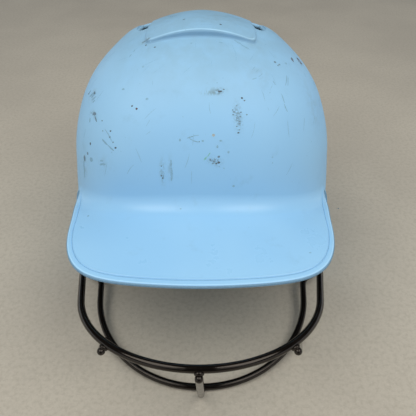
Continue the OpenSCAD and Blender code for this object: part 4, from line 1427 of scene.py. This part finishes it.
# each row is the angles and heights that a pad covers, and its upright and level lines
wraps = {
    "front": ((-44, 44), (-92, 14), (0.2, 0.4, 0.6, 0.8), (0.33,)),
    "rear": ((118, 242), (-92, 40), (0.14, 0.32, 0.5, 0.68, 0.86), (0.3,)),
    "side": ((50, 112), (-92, 14), (0.25, 0.5, 0.75), (0.3,)),
    "temple": ((54, 108), (-54, 8), (0.34, 0.66), ()),
    "forehead": ((-40, 40), (-46, 2), (0.26, 0.5, 0.74), ()),
    "nape": ((126, 234), (-34, 34), (0.2, 0.4, 0.6, 0.8), ()),
}
crownRound = {"liner": 36, "linerLines": (0.34, 0.66), "pad": 26, "padLines": (0.5,)}


def wrapped(which, off, turned=1):
    th, v, upright, level = wraps[which]
    return Pad(off, th if turned > 0 else (-th[1], -th[0]), v), upright, level


disc = Pad(padSet["linerOff"], disc=crownRound["liner"])
linerPiece("crown", disc, crownRound["linerLines"], crownRound["linerLines"])
for which in ("front", "rear"):
    linerPiece(which, *wrapped(which, padSet["linerOff"]))
for side, turned in (("left", 1), ("right", -1)):
    linerPiece(side, *wrapped("side", padSet["linerOff"], turned))
    sewnPad(side + "TemplePad", side + "_temple_pad", *wrapped("temple", padSet["padOff"], turned))
    earPad(side + "EarPad", side + "_ear_pad", turned)
disc = Pad(padSet["padOff"], disc=crownRound["pad"])
sewnPad("crownPad", "crown_pad", disc, crownRound["padLines"], crownRound["padLines"])
for which in ("forehead", "nape"):
    sewnPad(which + "Pad", which + "_pad", *wrapped(which, padSet["padOff"]))
print("stage: liners and pads")


# clips, screws, washers, nuts, studs and rivets keep their CAD shapes
hardware = {
    "clips": ("upper_left_clip", "upper_right_clip", "lower_left_clip", "lower_right_clip"),
    "metal": ("guard_screws", "guard_washers", "guard_nuts", "strap_studs", "stud_rivets"),
    "bevel": 0.35, "bevelSteps": 3, "bevelOver": 40, "sharp": 35,
}


def roundedCopy(node, material):
    mesh = cadNodes[node].data.copy()
    mesh.materials.clear()
    mesh.materials.append(material)
    piece = linkPiece(node.title().replace("_", ""), mesh)
    bevel = piece.modifiers.new("softEdges", "BEVEL")
    bevel.width = hardware["bevel"] / 1000
    bevel.segments = hardware["bevelSteps"]
    bevel.limit_method = "ANGLE"
    bevel.angle_limit = math.radians(hardware["bevelOver"])
    bevel.use_clamp_overlap = True
    applyModifiers(piece)
    smoothAll(piece, hardware["sharp"])
    standFor(piece, node)


for kind, material, slot in (("clips", nylon, "clip_plastic"), ("metal", steel, "steel")):
    for node in hardware[kind]:
        roundedCopy(node, material)
print("stage: clips and fastenings")


# floor, lamps and camera
stageSet = {
    "overhead": {"at": (0.6, -0.35, 1.1), "size": 0.9, "power": 5.6, "tint": (1.0, 0.965, 0.9)},
    "front": {"at": (0.4, -0.7, 0.6), "size": 0.5, "power": 0.4, "tint": (1.0, 0.99, 0.97)},
    "aim": (0, -0.02, 0.12), "floorHalf": 6, "floorLines": 12,
    "world": (212, 216, 220), "worldStrength": 0.66,
    "seen": {"dark": 0.05, "bright": 1.8, "middle": 0.05, "low": 0.24, "from": 0.35, "to": 0.65},
}


def floorFinish():
    f = Finish("warmGreyTable")
    colour = f.blend(f.ramp(f.noise(6, 3), 0.3, 0.7), rgb(179, 172, 159), rgb(188, 181, 167))
    colour = f.patches(colour, rgb(158, 150, 136), 0.42, 0.42, 0.66, 260, 5, 0.7)
    colour = f.patches(colour, rgb(214, 208, 196), 0.35, 0.56, 0.7, 700, 4, 0.7)
    colour = f.patches(colour, rgb(118, 110, 98), 0.4, 0.72, 0.78, 190, 4, 0.6)
    return f.finish(Base_Color=colour, Roughness=0.75, Normal=f.bump(f.noise(900, 3), 0.00006))


def addFloor():
    n = stageSet["floorLines"]
    side = np.linspace(-stageSet["floorHalf"], stageSet["floorHalf"], n)
    points = [(x, y, 0.0) for x in side for y in side]
    meshPiece("stageFloor", points, [f[::-1] for f in gridFaces(n, n)], floorFinish())


# two pairs of lamps, mirrored left and right
def addLamps():
    for name in ("overhead", "front"):
        how = stageSet[name]
        for turned in (1, -1):
            lamp = bpy.data.lights.new(name + "Lamp", "AREA")
            lamp.shape = "DISK"
            lamp.size = how["size"]
            lamp.energy = how["power"]
            lamp.color = how["tint"]
            holder = linkPiece(name + "Lamp", lamp)
            holder.location = Vector(how["at"]) * Vector((turned, 1, 1))
            aim = Vector(stageSet["aim"]) - holder.location
            holder.rotation_euler = aim.to_track_quat("-Z", "Y").to_euler()


# soft room light; shiny surfaces see a dark room with a bright wall low down on each side
def addRoom():
    world = bpy.data.worlds.new("softRoom")
    world.use_nodes = True
    room, seen = Nodes(world.node_tree, "Generated"), stageSet["seen"]
    aside = room.ramp(room.math("ABSOLUTE", room.axis("X")), seen["from"], seen["to"])
    height = room.math("ABSOLUTE", room.math("SUBTRACT", room.axis("Z"), seen["middle"]))
    low = room.ramp(height, 0.0, seen["low"], 1.0, 0.0)
    wall = room.math("MULTIPLY", room.math("MULTIPLY", aside, low), seen["bright"])
    wall = room.math("ADD", wall, seen["dark"])
    glossy = room.add("ShaderNodeLightPath").outputs["Is Glossy Ray"]
    pick = room.add("ShaderNodeMix", {"Factor": glossy, "A": stageSet["worldStrength"], "B": wall})
    sky = world.node_tree.nodes["Background"]
    room.feed(sky.inputs["Color"], rgb(*stageSet["world"]))
    room.feed(sky.inputs["Strength"], pick.outputs["Result"])
    bpy.context.scene.world = world


def addCamera():
    eye = bpy.data.cameras.new("photoView")
    eye.lens = view["lens"]
    eye.sensor_width = view["sensor"]
    eye.clip_start = view["near"]
    camera = linkPiece("photoView", eye)
    camera.location = view["camera"]
    camera.rotation_euler = (math.radians(view["tilt"]), 0, 0)
    bpy.context.scene.camera = camera
    bpy.context.scene.view_settings.view_transform = "Standard"


addFloor()
addLamps()
addRoom()
addCamera()
print("stage: floor, lamps and camera")
